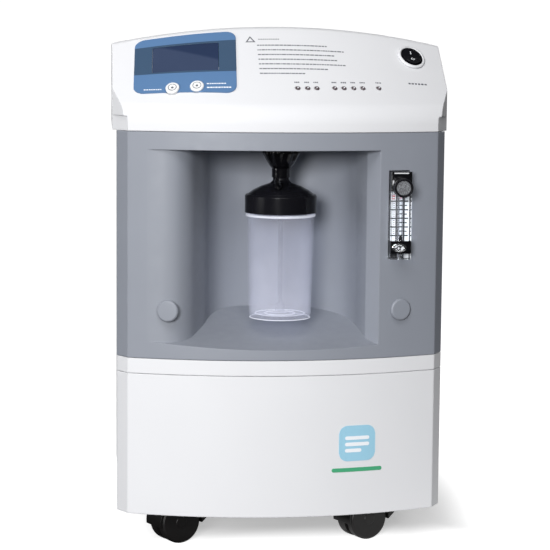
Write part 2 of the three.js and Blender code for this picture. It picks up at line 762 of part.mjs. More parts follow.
function buildHumidifier() {
  const { x, y } = BOTTLE;
  const at = (geometry) => geometry.translate(x, y, 0);

  const jar = turned(
    [
      [0, JAR.bottom + 2.5],
      [JAR.baseR - 9, JAR.bottom],
      [JAR.baseR - 3, JAR.bottom],
      [JAR.baseR, JAR.bottom + 3],
      [JAR.mouthR, JAR.top - 6],
      [JAR.mouthR + 1.6, JAR.top - 5],
      [JAR.mouthR + 1.6, JAR.top - 3],
      [JAR.mouthR - 1, JAR.top - 2],
      [JAR.mouthR - 1, JAR.top + 9],
      [JAR.mouthR - 3, JAR.top + 9],
      [JAR.mouthR - 3, JAR.top - 4],
      [JAR.baseR - 2.2, JAR.bottom + 4.5],
      [0, JAR.bottom + 5],
    ],
    24,
  );
  addPiece('humidifier_jar', at(jar), MILKY);

  const gasket = ring(JAR.mouthR - 4, JAR.mouthR - 0.5, JAR.top + 9 + GAP, JAR.top + 11.5, 20);
  addPiece('lid_gasket', at(gasket), RUBBER);

  const tubeR = 2.6;
  const lidProfile = [
    [tubeR + GAP, LID.neckZ + 13],
    [LID.neckR, LID.neckZ + 13],
    [LID.neckR, LID.neckZ],
    [LID.neckR + 5, LID.neckZ - 2.5],
    [22, 424.5],
    [31, 420],
    [37, LID.rimTop + 1],
    [LID.r, LID.rimTop - 2],
    [LID.r, LID.low],
    [LID.r - 2.6, LID.low],
    [LID.r - 3.2, JAR.top + 12],
    [24, JAR.top + 18],
    [tubeR + GAP, JAR.top + 20],
    [tubeR + GAP, LID.neckZ + 13],
  ];
  const lid = solid(turned(lidProfile, 24));
  const spoutHole = solid(rod(2.4, -20, 30, 12).applyMatrix4(spoutFrame()));
  const lidPlace = new THREE.Matrix4().makeTranslation(x, y, 0);
  addPiece('humidifier_lid', cut(lid, spoutHole), BLACK, lidPlace);

  // the oxygen outlet: a barbed spout at the front of the lid
  const barbs = [];
  for (let i = 0; i < 3; i += 1) {
    barbs.push([3.1, 7 + 3.4 * i], [2.3, 10.4 + 3.4 * i]);
  }
  const barb = turned(
    [
      [1.3, 3.6],
      [4.6, 3.6],
      [4.6, 6],
      [2.4, 6],
      ...barbs,
      [1.3, 18.5],
      [1.3, 3.6],
    ],
    10,
  );
  addPiece('outlet_spout', barb.applyMatrix4(lidPlace.clone().multiply(spoutFrame())), BLACK);

  const tube = ring(1.4, tubeR, JAR.bottom + 16, LID.neckZ + 10, 16);
  const diffuser = turned(
    [[0, JAR.bottom + 8], [5, JAR.bottom + 8], [5.6, JAR.bottom + 10], [5, JAR.bottom + 17], [0, JAR.bottom + 17]],
    16,
  );
  addPiece('dip_tube', at(toGeometry(join(solid(tube), solid(diffuser)))), CLEAR);

  // the wing nut holds the bottle to the outlet under the bay's ceiling
  const nutLow = LID.neckZ + 13 - 9;
  const nut = solid(
    turned(
      [
        [LID.neckR + GAP, nutLow],
        [LID.neckR + 2.6, nutLow],
        [LID.neckR + 2.6, nutLow + 6],
        [21, 461],
        [21, 464],
        [LID.neckR + 4, 464],
        [LID.neckR + GAP, 447],
        [LID.neckR + GAP, nutLow],
      ],
      20,
    ),
  );
  const notches = [];
  for (let i = 0; i < 8; i += 1) {
    notches.push(solid(rod(2.4, 449, 466, 6).translate(22, 0, 0).rotateZ((i * Math.PI) / 4)));
  }
  addPiece('wing_nut', cut(nut, ...notches), BLACK, lidPlace);

  const fitting = turned(
    [
      [2, 447],
      [7.6, 447],
      [7.6, 452],
      [6, 453],
      [6, BAY_TOP_Z + WALL + GAP],
      [12, BAY_TOP_Z + WALL + GAP],
      [12, BAY_TOP_Z + 8],
      [3.4, BAY_TOP_Z + 8],
      [3.4, BAY_TOP_Z + 18],
      [2, BAY_TOP_Z + 18],
      [2, 447],
    ],
    16,
  );
  addPiece('outlet_fitting', at(fitting), STEEL);
}

// The outlet spout's frame on the lid: Z along the spout, out of the dome towards the front left.
function spoutFrame() {
  const tilt = THREE.MathUtils.degToRad(48);
  const turn = THREE.MathUtils.degToRad(-14);
  return new THREE.Matrix4()
    .makeRotationZ(turn)
    .multiply(new THREE.Matrix4().makeTranslation(0, -24, 422.5))
    .multiply(new THREE.Matrix4().makeRotationX(tilt));
}
buildHumidifier();

// ---------------------------------------------------------------- chassis and casters

const WHEEL_R = 25;
const TRAIL = 12; // from the swivel axis back to the wheels' axle
const CASTER_TURN = THREE.MathUtils.degToRad(24.8);
const CASTERS = [
  { name: 'front_left', x: -100, y: -22 },
  { name: 'front_right', x: 122, y: -22 },
  { name: 'rear_left', x: -100, y: 132 },
  { name: 'rear_right', x: 122, y: 132 },
];
const STEM_R = 5.5;
const CHASSIS_Z = 66;
const SHELF = { x: 140, frontY: 5, rearY: 150, z: 200 };

function buildChassis() {
  const outline = [
    ...bowLine(EDGE_X - 16, 20, 12),
    [BODY_REAR_X - 8, BEVEL_END_Y + 30],
    [BODY_REAR_X - 14, REAR_Y - 24],
    [BODY_REAR_X - 30, REAR_Y - 8],
    [30 - BODY_REAR_X, REAR_Y - 8],
    [14 - BODY_REAR_X, REAR_Y - 24],
    [8 - BODY_REAR_X, BEVEL_END_Y + 30],
  ];
  const plate = solid(prismZ(outline, CHASSIS_Z, CHASSIS_Z + 2.5));
  const shelf = solid(box(-SHELF.x, SHELF.x, SHELF.frontY, SHELF.rearY, SHELF.z - 2.5, SHELF.z));
  const legs = [-SHELF.x, SHELF.x - 2.5].map((x) =>
    solid(box(x, x + 2.5, SHELF.frontY + 20, SHELF.rearY - 20, CHASSIS_Z + 1, SHELF.z - 1)),
  );
  const bosses = CASTERS.map(({ x, y }) => solid(rod(13, 59.5, CHASSIS_Z + 20, 12).translate(x, y, 0)));
  const sockets = CASTERS.map(({ x, y }) => solid(rod(STEM_R + GAP, 50, CHASSIS_Z + 17, 12).translate(x, y, 0)));
  const vents = [];
  for (let i = -4; i <= 4; i += 1) {
    vents.push(solid(box(i * 12 - 3, i * 12 + 3, 40, 110, 60, 70)));
  }
  addPiece('chassis_base', cut(join(plate, shelf, ...legs, ...bosses), ...sockets, ...vents), PAINTED);
}

function buildCaster({ name, x, y }) {
  const place = new THREE.Matrix4()
    .makeTranslation(x, y, 0)
    .multiply(new THREE.Matrix4().makeRotationZ(CASTER_TURN));
  // U runs along the rolling direction from the axle to the nose, V along the axle.
  const hoodR = WHEEL_R + 3.6;
  const side = [
    ...arc(-TRAIL, WHEEL_R, hoodR, 188, 62, 9),
    [8, 57],
    [20, 54],
    [26, 47],
    [27.5, 38],
    [24, 30],
    [WHEEL_R - TRAIL + 1.6, 22],
  ];
  const halfWidth = 17.5;
  const wedge = solid(prismY(side, -halfWidth, halfWidth));
  const rounder = solid(
    prismX(
      [[-halfWidth, 0], [halfWidth, 0], [halfWidth, 44], [13.5, 52], [8, 57], [-8, 57], [-13.5, 52], [-halfWidth, 44]],
      -60,
      60,
    ),
  );
  const web = solid(facingFront(rod(hoodR - 2, -3, 3, 18)).translate(-TRAIL, 0, WHEEL_R));
  const webTop = web.intersect(solid(box(-60, 60, -5, 5, 11, 60)));
  const wells = [-1, 1].map((end) => {
    const well = facingFront(rod(WHEEL_R + 1.8, 3.2, 24, 18)).translate(-TRAIL, 0, WHEEL_R);
    return solid(end > 0 ? well : well.scale(1, -1, 1));
  });
  const stem = solid(rod(STEM_R, 50, CHASSIS_Z + 16, 12));
  const bore = solid(facingFront(rod(3.4, -10, 10, 10)).translate(-TRAIL, 0, WHEEL_R));
  const shell = cut(wedge.intersect(rounder), ...wells);
  addPiece(`caster_hood_${name}`, cut(join(shell, webTop, stem), bore), BLACK, place);

  // one flat of each wheel's facets stands on the floor
  const facets = 18;
  const r = WHEEL_R / Math.cos(Math.PI / facets);
  const tread = [
    [0, 3.6],
    [8, 3.6],
    [9, 5],
    [r - 1.4, 5],
    [r, 6.4],
    [r, 14.4],
    [r - 2.4, 16.6],
    [5, 16.2],
    [0, 17.4],
  ];
  const wheel = facingFront(turned(tread, facets).rotateZ(Math.PI / facets));
  const near = solid(wheel);
  const far = solid(wheel.clone().scale(1, -1, 1));
  const axle = solid(facingFront(rod(3, -8, 8, 10)));
  const axlePlace = place.clone().multiply(new THREE.Matrix4().makeTranslation(-TRAIL, 0, WHEEL_R));
  addPiece(`caster_wheels_${name}`, join(near, far, axle), BLACK, axlePlace);
}

buildChassis();
CASTERS.forEach(buildCaster);

// ---------------------------------------------------------------- rear cover and what it carries

const REAR_FACE_Y = REAR_Y - 1;
const REAR_WALL = 2.5;
const DOOR = { x: 55, low: 300, high: 410 };
const INLET = { x: 92, z: 146, halfX: 15, halfZ: 12 };
const BREAKER = { x: 48, z: 146, r: 8 };

function slotRow(halfWidth, z0, pitch, count) {
  const slots = [];
  for (let i = 0; i < count; i += 1) {
    const z = z0 + i * pitch;
    slots.push(solid(box(-halfWidth, halfWidth, REAR_Y - 20, REAR_Y + 5, z, z + pitch * 0.45)));
  }
  return slots;
}

function buildRear() {
  const wallX = REAR_HALF - GAP;
  const panel = solid(
    box(-wallX, wallX, REAR_FACE_Y - REAR_WALL, REAR_FACE_Y, BASE_Z, CAP_Z - GAP),
  );
  const doorway = solid(box(-DOOR.x - 0.8, DOOR.x + 0.8, 170, 200, DOOR.low - 0.8, DOOR.high + 0.8));
  const tray = solid(box(-DOOR.x - 3, DOOR.x + 3, REAR_Y - 19, REAR_FACE_Y - 1, DOOR.low - 3, DOOR.high + 3));
  const trayInside = solid(box(-DOOR.x - 0.8, DOOR.x + 0.8, REAR_Y - 17, 200, DOOR.low - 0.8, DOOR.high + 0.8));
  const trayDuct = solid(facingFront(rod(30, -40, 40, 20)).translate(0, REAR_Y - 19, (DOOR.low + DOOR.high) / 2));
  const inletHole = solid(
    box(INLET.x - INLET.halfX - GAP, INLET.x + INLET.halfX + GAP, 170, 200,
      INLET.z - INLET.halfZ - GAP, INLET.z + INLET.halfZ + GAP),
  );
  const breakerHole = solid(facingFront(rod(BREAKER.r - 1.5, -30, 30, 16)).translate(BREAKER.x, 170, BREAKER.z));
  const exhaust = slotRow(30, 96, 9, 9).map((slot) => slot.translate([-40, 0, 0]));
  const cover = cut(join(panel, tray), doorway, trayInside, trayDuct, inletHole, breakerHole, ...exhaust);
  addPiece('rear_cover', cover, WHITE);

  const door = solid(box(-DOOR.x, DOOR.x, REAR_FACE_Y - REAR_WALL, REAR_FACE_Y, DOOR.low, DOOR.high));
  addPiece('filter_door', cut(door, ...slotRow(DOOR.x - 9, DOOR.low + 10, 9, 10)), WHITE);
  const foam = box(-DOOR.x + 3, DOOR.x - 3, REAR_Y - 16.5, REAR_FACE_Y - REAR_WALL - 1, DOOR.low + 3, DOOR.high - 3);
  addPiece('intake_filter', foam, FOAM);

  // the mains inlet: a socket with three flat pins, for a detachable lead
  const shell = solid(
    prismY(
      [
        [INLET.x - INLET.halfX, INLET.z - INLET.halfZ],
        [INLET.x + INLET.halfX, INLET.z - INLET.halfZ],
        [INLET.x + INLET.halfX, INLET.z + INLET.halfZ - 4],
        [INLET.x + INLET.halfX - 5, INLET.z + INLET.halfZ],
        [INLET.x - INLET.halfX + 5, INLET.z + INLET.halfZ],
        [INLET.x - INLET.halfX, INLET.z + INLET.halfZ - 4],
      ],
      REAR_Y - 24,
      REAR_Y - 0.4,
    ),
  );
  const well = solid(box(INLET.x - 12, INLET.x + 12, REAR_Y - 20, REAR_Y + 5, INLET.z - 8.5, INLET.z + 7.5));
  const pins = [
    [-7, -2.5],
    [0, 2.5],
    [7, -2.5],
  ].map(([dx, dz]) =>
    solid(box(INLET.x + dx - 1, INLET.x + dx + 1, REAR_Y - 22, REAR_Y - 6, INLET.z + dz - 2, INLET.z + dz + 2)),
  );
  addPiece('power_inlet', join(cut(shell, well), ...pins), BLACK);

  // the overload cut-out: its body sits inside, its button comes through a threaded neck
  const toRear = (geometry) => geometry.rotateX(-Math.PI / 2).translate(BREAKER.x, REAR_FACE_Y, BREAKER.z);
  const breaker = turned(
    [
      [0, -30],
      [BREAKER.r + 3, -30],
      [BREAKER.r + 3, -REAR_WALL - GAP],
      [BREAKER.r - 2, -REAR_WALL - GAP],
      [BREAKER.r - 2, 0.6],
      [4.6, 0.6],
      [4.6, -12],
      [0, -12],
    ],
    20,
  );
  addPiece('breaker_body', toRear(breaker), BLACK);
  const push = turned([[0, -8], [4.2, -8], [4.2, 0.2], [3.8, 0.8], [0, 0.9]], 16);
  addPiece('breaker_button', toRear(push), BLACK);
}
buildRear();

// ---------------------------------------------------------------- works inside the cabinet

const COMPRESSOR = { y: -30, z: 132, r: 40, halfX: 52, endX: 92 };
const FAN = { y: 102, z: 133, half: 46, depth: 24 };
const TOWERS = [
  { name: 'sieve_tower_left', x: -88 },
  { name: 'sieve_tower_right', x: -4 },
];
const TOWER = { y: 62, r: 37, top: 440 };
const TANK = { x: 78, y: 62, r: 31, top: 420 };

function buildCompressor() {
  const c = COMPRESSOR;
  const motor = solid(alongX(rod(c.r, -c.halfX - 1, c.halfX + 1, 24)).translate(0, c.y, c.z));
  const ends = [-1, 1].map((end) => {
    const [x0, x1] = end > 0 ? [c.halfX, c.endX] : [-c.endX, -c.halfX];
    return solid(box(x0, x1, c.y - 30, c.y + 30, c.z - 36, c.z + 36));
  });
  const feet = [-1, 1].map((end) => {
    const x = end * (c.halfX + 20);
    return solid(box(x - 12, x + 12, c.y - 44, c.y + 44, c.z - 42, c.z - 34));
  });
  addPiece('compressor', join(motor, ...ends, ...feet), CAST);
  for (const { side, word } of SIDES) {
    const x = (side * (c.halfX + c.endX)) / 2;
    const head = solid(box(x - 17, x + 17, c.y - 26, c.y + 26, c.z + 36 + GAP, c.z + 52));
    const fins = [];
    for (let i = -3; i <= 3; i += 1) {
      fins.push(solid(box(x - 17, x + 17, c.y + i * 7.5 - 1.2, c.y + i * 7.5 + 1.2, c.z + 51, c.z + 60)));
    }
    addPiece(`compressor_head_${word}`, join(head, ...fins), ALUMINIUM);
    const footX = side * (c.halfX + 20);
    const rail = box(footX - 12, footX + 12, c.y - 40, c.y + 40, CHASSIS_Z + 2.5 + GAP, c.z - 42 - GAP);
    addPiece(`rubber_mount_${word}`, rail, RUBBER);
  }
}

function buildFan() {
  const f = FAN;
  const centre = (geometry) => geometry.translate(0, f.y, f.z);
  const frame = solid(box(-f.half, f.half, f.y - f.depth / 2, f.y + f.depth / 2, f.z - f.half, f.z + f.half));
  const duct = solid(centre(facingFront(rod(f.half - 3, -40, 40, 20))));
  const hubR = 17;
  const mount = solid(centre(facingFront(rod(hubR, -f.depth / 2, 3 - f.depth / 2, 20))));
  const spokes = [45, 135].map((degrees) => {
    const bar = box(-f.half - 6, f.half + 6, -f.depth / 2, f.depth / 2, -2, 2);
    bar.rotateY(THREE.MathUtils.degToRad(degrees));
    return solid(centre(bar)).intersect(solid(box(-50, 50, f.y + f.depth / 2 - 3, f.y + f.depth / 2, 60, 200)));
  });
  addPiece('fan_frame', join(cut(frame, duct), mount, ...spokes), BLACK);

  const hub = solid(facingFront(rod(hubR, 3.3 - f.depth / 2, f.depth / 2 - 1, 20)));
  const blades = [];
  const bladeCount = 7;
  for (let i = 0; i < bladeCount; i += 1) {
    const blade = box(hubR - 3, f.half - 5, -8, 6, -1.1, 1.1);
    blade.rotateX(THREE.MathUtils.degToRad(38)).rotateY((2 * Math.PI * i) / bladeCount);
    blades.push(solid(blade));
  }
  addPiece('fan_rotor', centre(toGeometry(join(hub, ...blades))), BLACK);
}

// A capped aluminium canister standing on the shelf, with a port on top.
function canister(x, y, r, top) {
  const low = SHELF.z + GAP;
  const profile = [
    [0, low],
    [r + 2, low],
    [r + 2, low + 12],
    [r, low + 12],
    [r, top - 12],
    [r + 2, top - 12],
    [r + 2, top],
    [5, top],
    [4, top + 10],
    [0, top + 10],
  ];
  return turned(profile, 20).translate(x, y, 0);
}

function buildSeparation() {
  for (const { name, x } of TOWERS) {
    addPiece(name, canister(x, TOWER.y, TOWER.r, TOWER.top), ALUMINIUM);
  }
  addPiece('product_tank', canister(TANK.x, TANK.y, TANK.r, TANK.top), ALUMINIUM);

  const valveZ = TOWER.top + 10 + GAP;
  const block = solid(box(-105, 15, TOWER.y - 18, TOWER.y + 18, valveZ, valveZ + 20));
  const coils = [];
  for (let i = 0; i < 4; i += 1) {
    const coil = rod(11, valveZ + 19, valveZ + 52, 16).translate(-89 + i * 29, TOWER.y, 0);
    coils.push(solid(coil));
  }
  addPiece('valve_block', join(block, ...coils), ALUMINIUM);
}

function buildElectronics() {
  const board = solid(box(140, 141.6, 20, 150, 215, 380));
  const capacitor = solid(alongX(rod(13, 0, 24, 20)).translate(117, 128, 262));
  const relays = [0, 1, 2].map((i) => solid(box(122, 141, 86, 108, 230 + i * 34, 252 + i * 34)));
  const sink = solid(box(122, 141, 116, 142, 290, 370));
  addPiece('control_board', join(board, capacitor, sink, ...relays), BOARD_GREEN);
}

function buildHoses() {
  const blockRearY = FLOWMETER.frontY + 14.5 + 1.3 + GAP + 27;
  const portY = blockRearY + GAP;
  const product = [
    [TANK.x, TANK.y, TANK.top + 10 + GAP],
    [TANK.x, TANK.y, TANK.top + 26],
    [100, 44, 462],
    [132, 0, 450],
    [142, -50, 415],
    [136, -92, 375],
    [FLOWMETER.x, portY + 14, FLOWMETER.bottom + 14],
    [FLOWMETER.x, portY, FLOWMETER.bottom + 14],
  ];
  addPiece('hose_product', hose(product, 4, 22), HOSE);
  const outlet = [
    [FLOWMETER.x, portY, FLOWMETER.top - 30],
    [FLOWMETER.x, portY + 14, FLOWMETER.top - 30],
    [128, -96, 436],
    [118, -94, 472],
    [84, -98, 492],
    [30, -114, 499],
    [BOTTLE.x + 2, BOTTLE.y, 497],
    [BOTTLE.x, BOTTLE.y, BAY_TOP_Z + 19],
  ];
  addPiece('hose_humidifier', hose(outlet, 4, 20), HOSE);
}

buildCompressor();
buildFan();
buildSeparation();
buildElectronics();
buildHoses();

export default model;
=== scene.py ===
import math

import bmesh
import bpy
import numpy as np
from mathutils import Matrix, Vector


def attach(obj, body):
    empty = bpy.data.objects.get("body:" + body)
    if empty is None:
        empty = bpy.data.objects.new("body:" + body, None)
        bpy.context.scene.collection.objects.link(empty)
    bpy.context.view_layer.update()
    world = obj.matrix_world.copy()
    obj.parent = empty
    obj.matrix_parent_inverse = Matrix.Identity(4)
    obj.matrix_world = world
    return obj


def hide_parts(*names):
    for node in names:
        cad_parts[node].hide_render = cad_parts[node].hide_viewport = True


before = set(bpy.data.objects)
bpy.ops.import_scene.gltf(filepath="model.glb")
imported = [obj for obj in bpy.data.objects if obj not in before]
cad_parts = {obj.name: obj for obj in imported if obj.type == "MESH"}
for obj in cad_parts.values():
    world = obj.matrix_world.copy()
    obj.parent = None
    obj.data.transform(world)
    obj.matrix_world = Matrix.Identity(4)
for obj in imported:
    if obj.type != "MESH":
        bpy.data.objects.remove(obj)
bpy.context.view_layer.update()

MM = 0.001
rng = np.random.default_rng(7)


# ------------------------------------------------------------------ the cabinet's surfaces, in mm

FRONT_Y, REAR_Y, BOW, EDGE_X = -177.5, 187.5, 36.0, 172.0
BODY_X, BODY_REAR_X, REAR_HALF, SETBACK = 183.0, 171.0, 146.0, 0.5
CAP_X, CAP_REAR_X = 187.5, 177.5
CAP_Z, TOP_Z, BAND_Z = 486.0, 600.0, 503.0
SLOPE_Z, ARCH, CREST_R, BEND_R = 512.0, 20.0, 12.0, 34.0
D = math.sqrt(0.5)
CREST_Z = TOP_Z - CREST_R
CREST_Y = FRONT_Y + 4 + (CREST_Z - SLOPE_Z) + 2 * CREST_R * D
BEVEL_END_Y = FRONT_Y + BOW + SETBACK + 18
BOTTLE = (-1.0, -122.0)


def front_y(x):
    return FRONT_Y + BOW * (x / EDGE_X) ** 2


def bend(points):
    """Bows the cap's front and arches its crest."""
    p = np.array(points, float)
    x, y, z = p.T
    rise = np.clip((z - SLOPE_Z) / (TOP_Z - SLOPE_Z), 0, 1)
    back = np.clip((y - CREST_Y) / (REAR_Y - CREST_Y), 0, 1)
    drop = ARCH * (x / CAP_X) ** 2 * rise
    bow = BOW * (x / EDGE_X) ** 2
    return np.stack([x, y + (bow - drop) * (1 - back), z - drop], 1)


def on_slope(x, s, lift=0.0):
    """A point on the control slope: x across, s up the slope, lift off it."""
    flat = (x, FRONT_Y + 4 + (s - lift) * D, SLOPE_Z + (s + lift) * D)
    return bend([flat])[0]


def slope_frame(x, s):
    """X across, Y up the slope, Z out of it."""
    across = on_slope(x + 1, s) - on_slope(x - 1, s)
    across /= np.linalg.norm(across)
    out = np.cross(across, on_slope(x, s + 1) - on_slope(x, s - 1))
    out /= np.linalg.norm(out)
    up = np.cross(out, across)
    m = np.eye(4)
    m[:3, 0], m[:3, 1], m[:3, 2], m[:3, 3] = across, up, out, on_slope(x, s)
    return m


def slope_s(x, height):
    return height / D / (1 - ARCH / (TOP_Z - SLOPE_Z) * (x / CAP_X) ** 2)


# ------------------------------------------------------------------ mesh tools, in mm

def place(x=0.0, y=0.0, z=0.0):
    m = np.eye(4)
    m[:3, 3] = x, y, z
    return m


def turn(axis, degrees):
    return np.array(Matrix.Rotation(math.radians(degrees), 4, axis))


def moved(shape, matrix):
    verts, faces = shape
    v = np.asarray(verts, float)
    return v @ matrix[:3, :3].T + matrix[:3, 3], faces


def merged(*shapes):
    verts, faces, start = [], [], 0
    for v, f in shapes:
        verts.append(np.asarray(v, float))
        faces += [tuple(i + start for i in face) for face in f]
        start += len(v)
    return np.concatenate(verts), faces


def fillet(points, radius, steps=4, closed=False):
    """Rounds an outline's corners; radius is one number, or one for each point."""
    pts = [np.array(p, float) for p in points]
    n = len(pts)
    radii = radius if hasattr(radius, "__len__") else [radius] * n
    out = []
    for i, p in enumerate(pts):
        if radii[i] <= 0 or (not closed and i in (0, n - 1)):
            out.append(p)
            continue
        a, b = pts[i - 1] - p, pts[(i + 1) % n] - p
        la, lb = np.linalg.norm(a), np.linalg.norm(b)
        half = math.acos(np.clip(a @ b / (la * lb), -1, 1)) / 2
        if half > 1.54:
            out.append(p)
            continue
        reach = min(radii[i] / math.tan(half), 0.48 * la, 0.48 * lb)
        first, last = p + a / la * reach, p + b / lb * reach
        for k in range(steps + 1):
            t = k / steps
            out.append((1 - t) ** 2 * first + 2 * t * (1 - t) * p + t * t * last)
    return np.array(out)


def arc(cu, cv, r, start, end, count):
    a = np.radians(np.linspace(start, end, count + 1))
    return np.stack([cu + r * np.cos(a), cv + r * np.sin(a)], 1)


def rounded_box(x0, x1, y0, y1, r, count=6):
    return np.concatenate([
        arc(x1 - r, y1 - r, r, 0, 90, count), arc(x0 + r, y1 - r, r, 90, 180, count),
        arc(x0 + r, y0 + r, r, 180, 270, count), arc(x1 - r, y0 + r, r, 270, 360, count)])


def loft(rings, closed_ring=True, caps=True):
    """Skins equal rings of points, one after another."""
    m = len(rings[0])
    verts = np.concatenate([np.asarray(r, float) for r in rings])
    faces = []
    for i in range(len(rings) - 1):
        for j in range(m if closed_ring else m - 1):
            k = (j + 1) % m
            faces.append((i * m + j, i * m + k, (i + 1) * m + k, (i + 1) * m + j))
    if caps:
        faces.append(tuple(range(m - 1, -1, -1)))
        faces.append(tuple(range((len(rings) - 1) * m, len(rings) * m)))
    return verts, faces


def prism_z(outline, *levels):
    o = np.asarray(outline, float)
    return loft([np.column_stack([o, np.full(len(o), z)]) for z in levels])


def prism_x(outline, *stations):
    o = np.asarray(outline, float)
    return loft([np.column_stack([np.full(len(o), x), o]) for x in stations])


def prism_y(outline, *stations):
    o = np.asarray(outline, float)
    return loft([np.column_stack([o[:, 0], np.full(len(o), y), o[:, 1]]) for y in stations])


def block(x0, x1, y0, y1, z0, z1):
    return prism_z([(x0, y0), (x1, y0), (x1, y1), (x0, y1)], z0, z1)


def lathe(profile, segments=64, ripple=None):
    """Turns [r, z] points about Z. ripple(r, z, angle) gives the radius of a ribbed part."""
    profile = np.asarray(profile, float)
    rings = []
    for k in range(segments):
        a = 2 * math.pi * k / segments
        r = profile[:, 0] if ripple is None else np.array([ripple(r, z, a) for r, z in profile])
        rings.append(np.stack([r * math.cos(a), r * math.sin(a), profile[:, 1]], 1))
    rings.append(rings[0])
    return loft(rings, closed_ring=False, caps=False)


def rod(r, z0, z1, segments=48):
    return lathe([(0, z0), (r, z0), (r, z1), (0, z1)], segments)


def sweep(path, section):
    """Carries an [inset, z] section along a plan path; inset is to the left of the path."""
    path = np.asarray(path, float)
    along = np.gradient(path, axis=0)
    along /= np.linalg.norm(along, axis=1)[:, None]
    inward = np.stack([-along[:, 1], along[:, 0]], 1)
    rings = []
    for p, n in zip(path, inward):
        rings.append([(p[0] + n[0] * u, p[1] + n[1] * u, z) for u, z in section])
    return loft(rings)


def offset(path, distance):
    path = np.asarray(path, float)
    along = np.gradient(path, axis=0)
    along /= np.linalg.norm(along, axis=1)[:, None]
    return path + np.stack([-along[:, 1], along[:, 0]], 1) * distance


def spline(points, count):
    """A Catmull-Rom curve through points."""
    p = np.array(points, float)
    p = np.concatenate([[2 * p[0] - p[1]], p, [2 * p[-1] - p[-2]]])
    out = []
    for u in np.linspace(0, len(points) - 1, count):
        i = min(int(u), len(points) - 2)
        t = u - i
        a, b, c, d = p[i:i + 4]
        out.append(0.5 * (2 * b + (c - a) * t + (2 * a - 5 * b + 4 * c - d) * t * t
                          + (3 * b - a - 3 * c + d) * t ** 3))
    return np.array(out)


def mesh_object(name, shape):
    verts, faces = shape
    mesh = bpy.data.meshes.new(name)
    mesh.from_pydata([tuple(v) for v in np.asarray(verts) * MM], [], faces)
    bm = bmesh.new()
    bm.from_mesh(mesh)
    bmesh.ops.remove_doubles(bm, verts=bm.verts, dist=2e-6)
    bmesh.ops.dissolve_degenerate(bm, edges=bm.edges, dist=1e-7)
    bmesh.ops.recalc_face_normals(bm, faces=bm.faces)
    bm.to_mesh(mesh)
    bm.free()
    obj = bpy.data.objects.new(name, mesh)
    bpy.context.collection.objects.link(obj)
    return obj


def settle(obj):
    """Makes an object's modifiers part of its mesh."""
    bpy.context.view_layer.update()
    graph = bpy.context.evaluated_depsgraph_get()
    mesh = bpy.data.meshes.new_from_object(obj.evaluated_get(graph))
    obj.modifiers.clear()
    obj.data = mesh
    return obj


def combine(obj, operation, *shapes):
    """Cuts shapes from an object ("DIFFERENCE"), or joins or intersects it with them."""
    tools = [mesh_object("tool", s) for s in shapes]
    for tool in tools:
        mod = obj.modifiers.new("combine", "BOOLEAN")
        mod.operation, mod.solver, mod.object = operation, "EXACT", tool
    settle(obj)
    for tool in tools:
        bpy.data.objects.remove(tool, do_unlink=True)
    return obj


def bevel(obj, width, segments=3, angle=40):
    mod = obj.modifiers.new("bevel", "BEVEL")
    mod.width, mod.segments, mod.limit_method = width * MM, segments, "ANGLE"
    mod.angle_limit = math.radians(angle)
    return settle(obj)


def finish(obj, material, body="cabinet", stands_for=(), smooth=32, weighted=True):
    """Shades a piece, paints it and fixes it to its body."""
    mesh = obj.data
    mesh.polygons.foreach_set("use_smooth", [True] * len(mesh.polygons))
    mesh.set_sharp_from_angle(angle=math.radians(smooth))
    if weighted:
        mod = obj.modifiers.new("normals", "WEIGHTED_NORMAL")
        mod.keep_sharp, mod.weight = True, 80
        settle(obj)
    obj.data.materials.clear()
    obj.data.materials.append(material)
    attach(obj, body)
    if stands_for:
        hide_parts(*stands_for)
    return obj


def piece(name, shape, material, body="cabinet", stands_for=(), smooth=32, weighted=True):
    return finish(mesh_object(name, shape), material, body, stands_for, smooth, weighted)


# ------------------------------------------------------------------ materials

GRAIN_DEPTH = 0.2 * MM


def linear(*rgb):
    return tuple(c / 255 / 12.92 if c <= 10 else ((c / 255 + 0.055) / 1.055) ** 2.4 for c in rgb)


def add(tree, kind, inputs=None, **settings):
    made = tree.nodes.new("ShaderNode" + kind)
    for key, value in settings.items():
        setattr(made, key, value)
    for key, value in (inputs or {}).items():
        if isinstance(value, bpy.types.NodeSocket):
            tree.links.new(value, made.inputs[key])
        else:
            made.inputs[key].default_value = value
    return made


def new_material(name):
    made = bpy.data.materials.new(name)
    made.use_nodes = True
    made.node_tree.nodes.clear()
    return made, made.node_tree


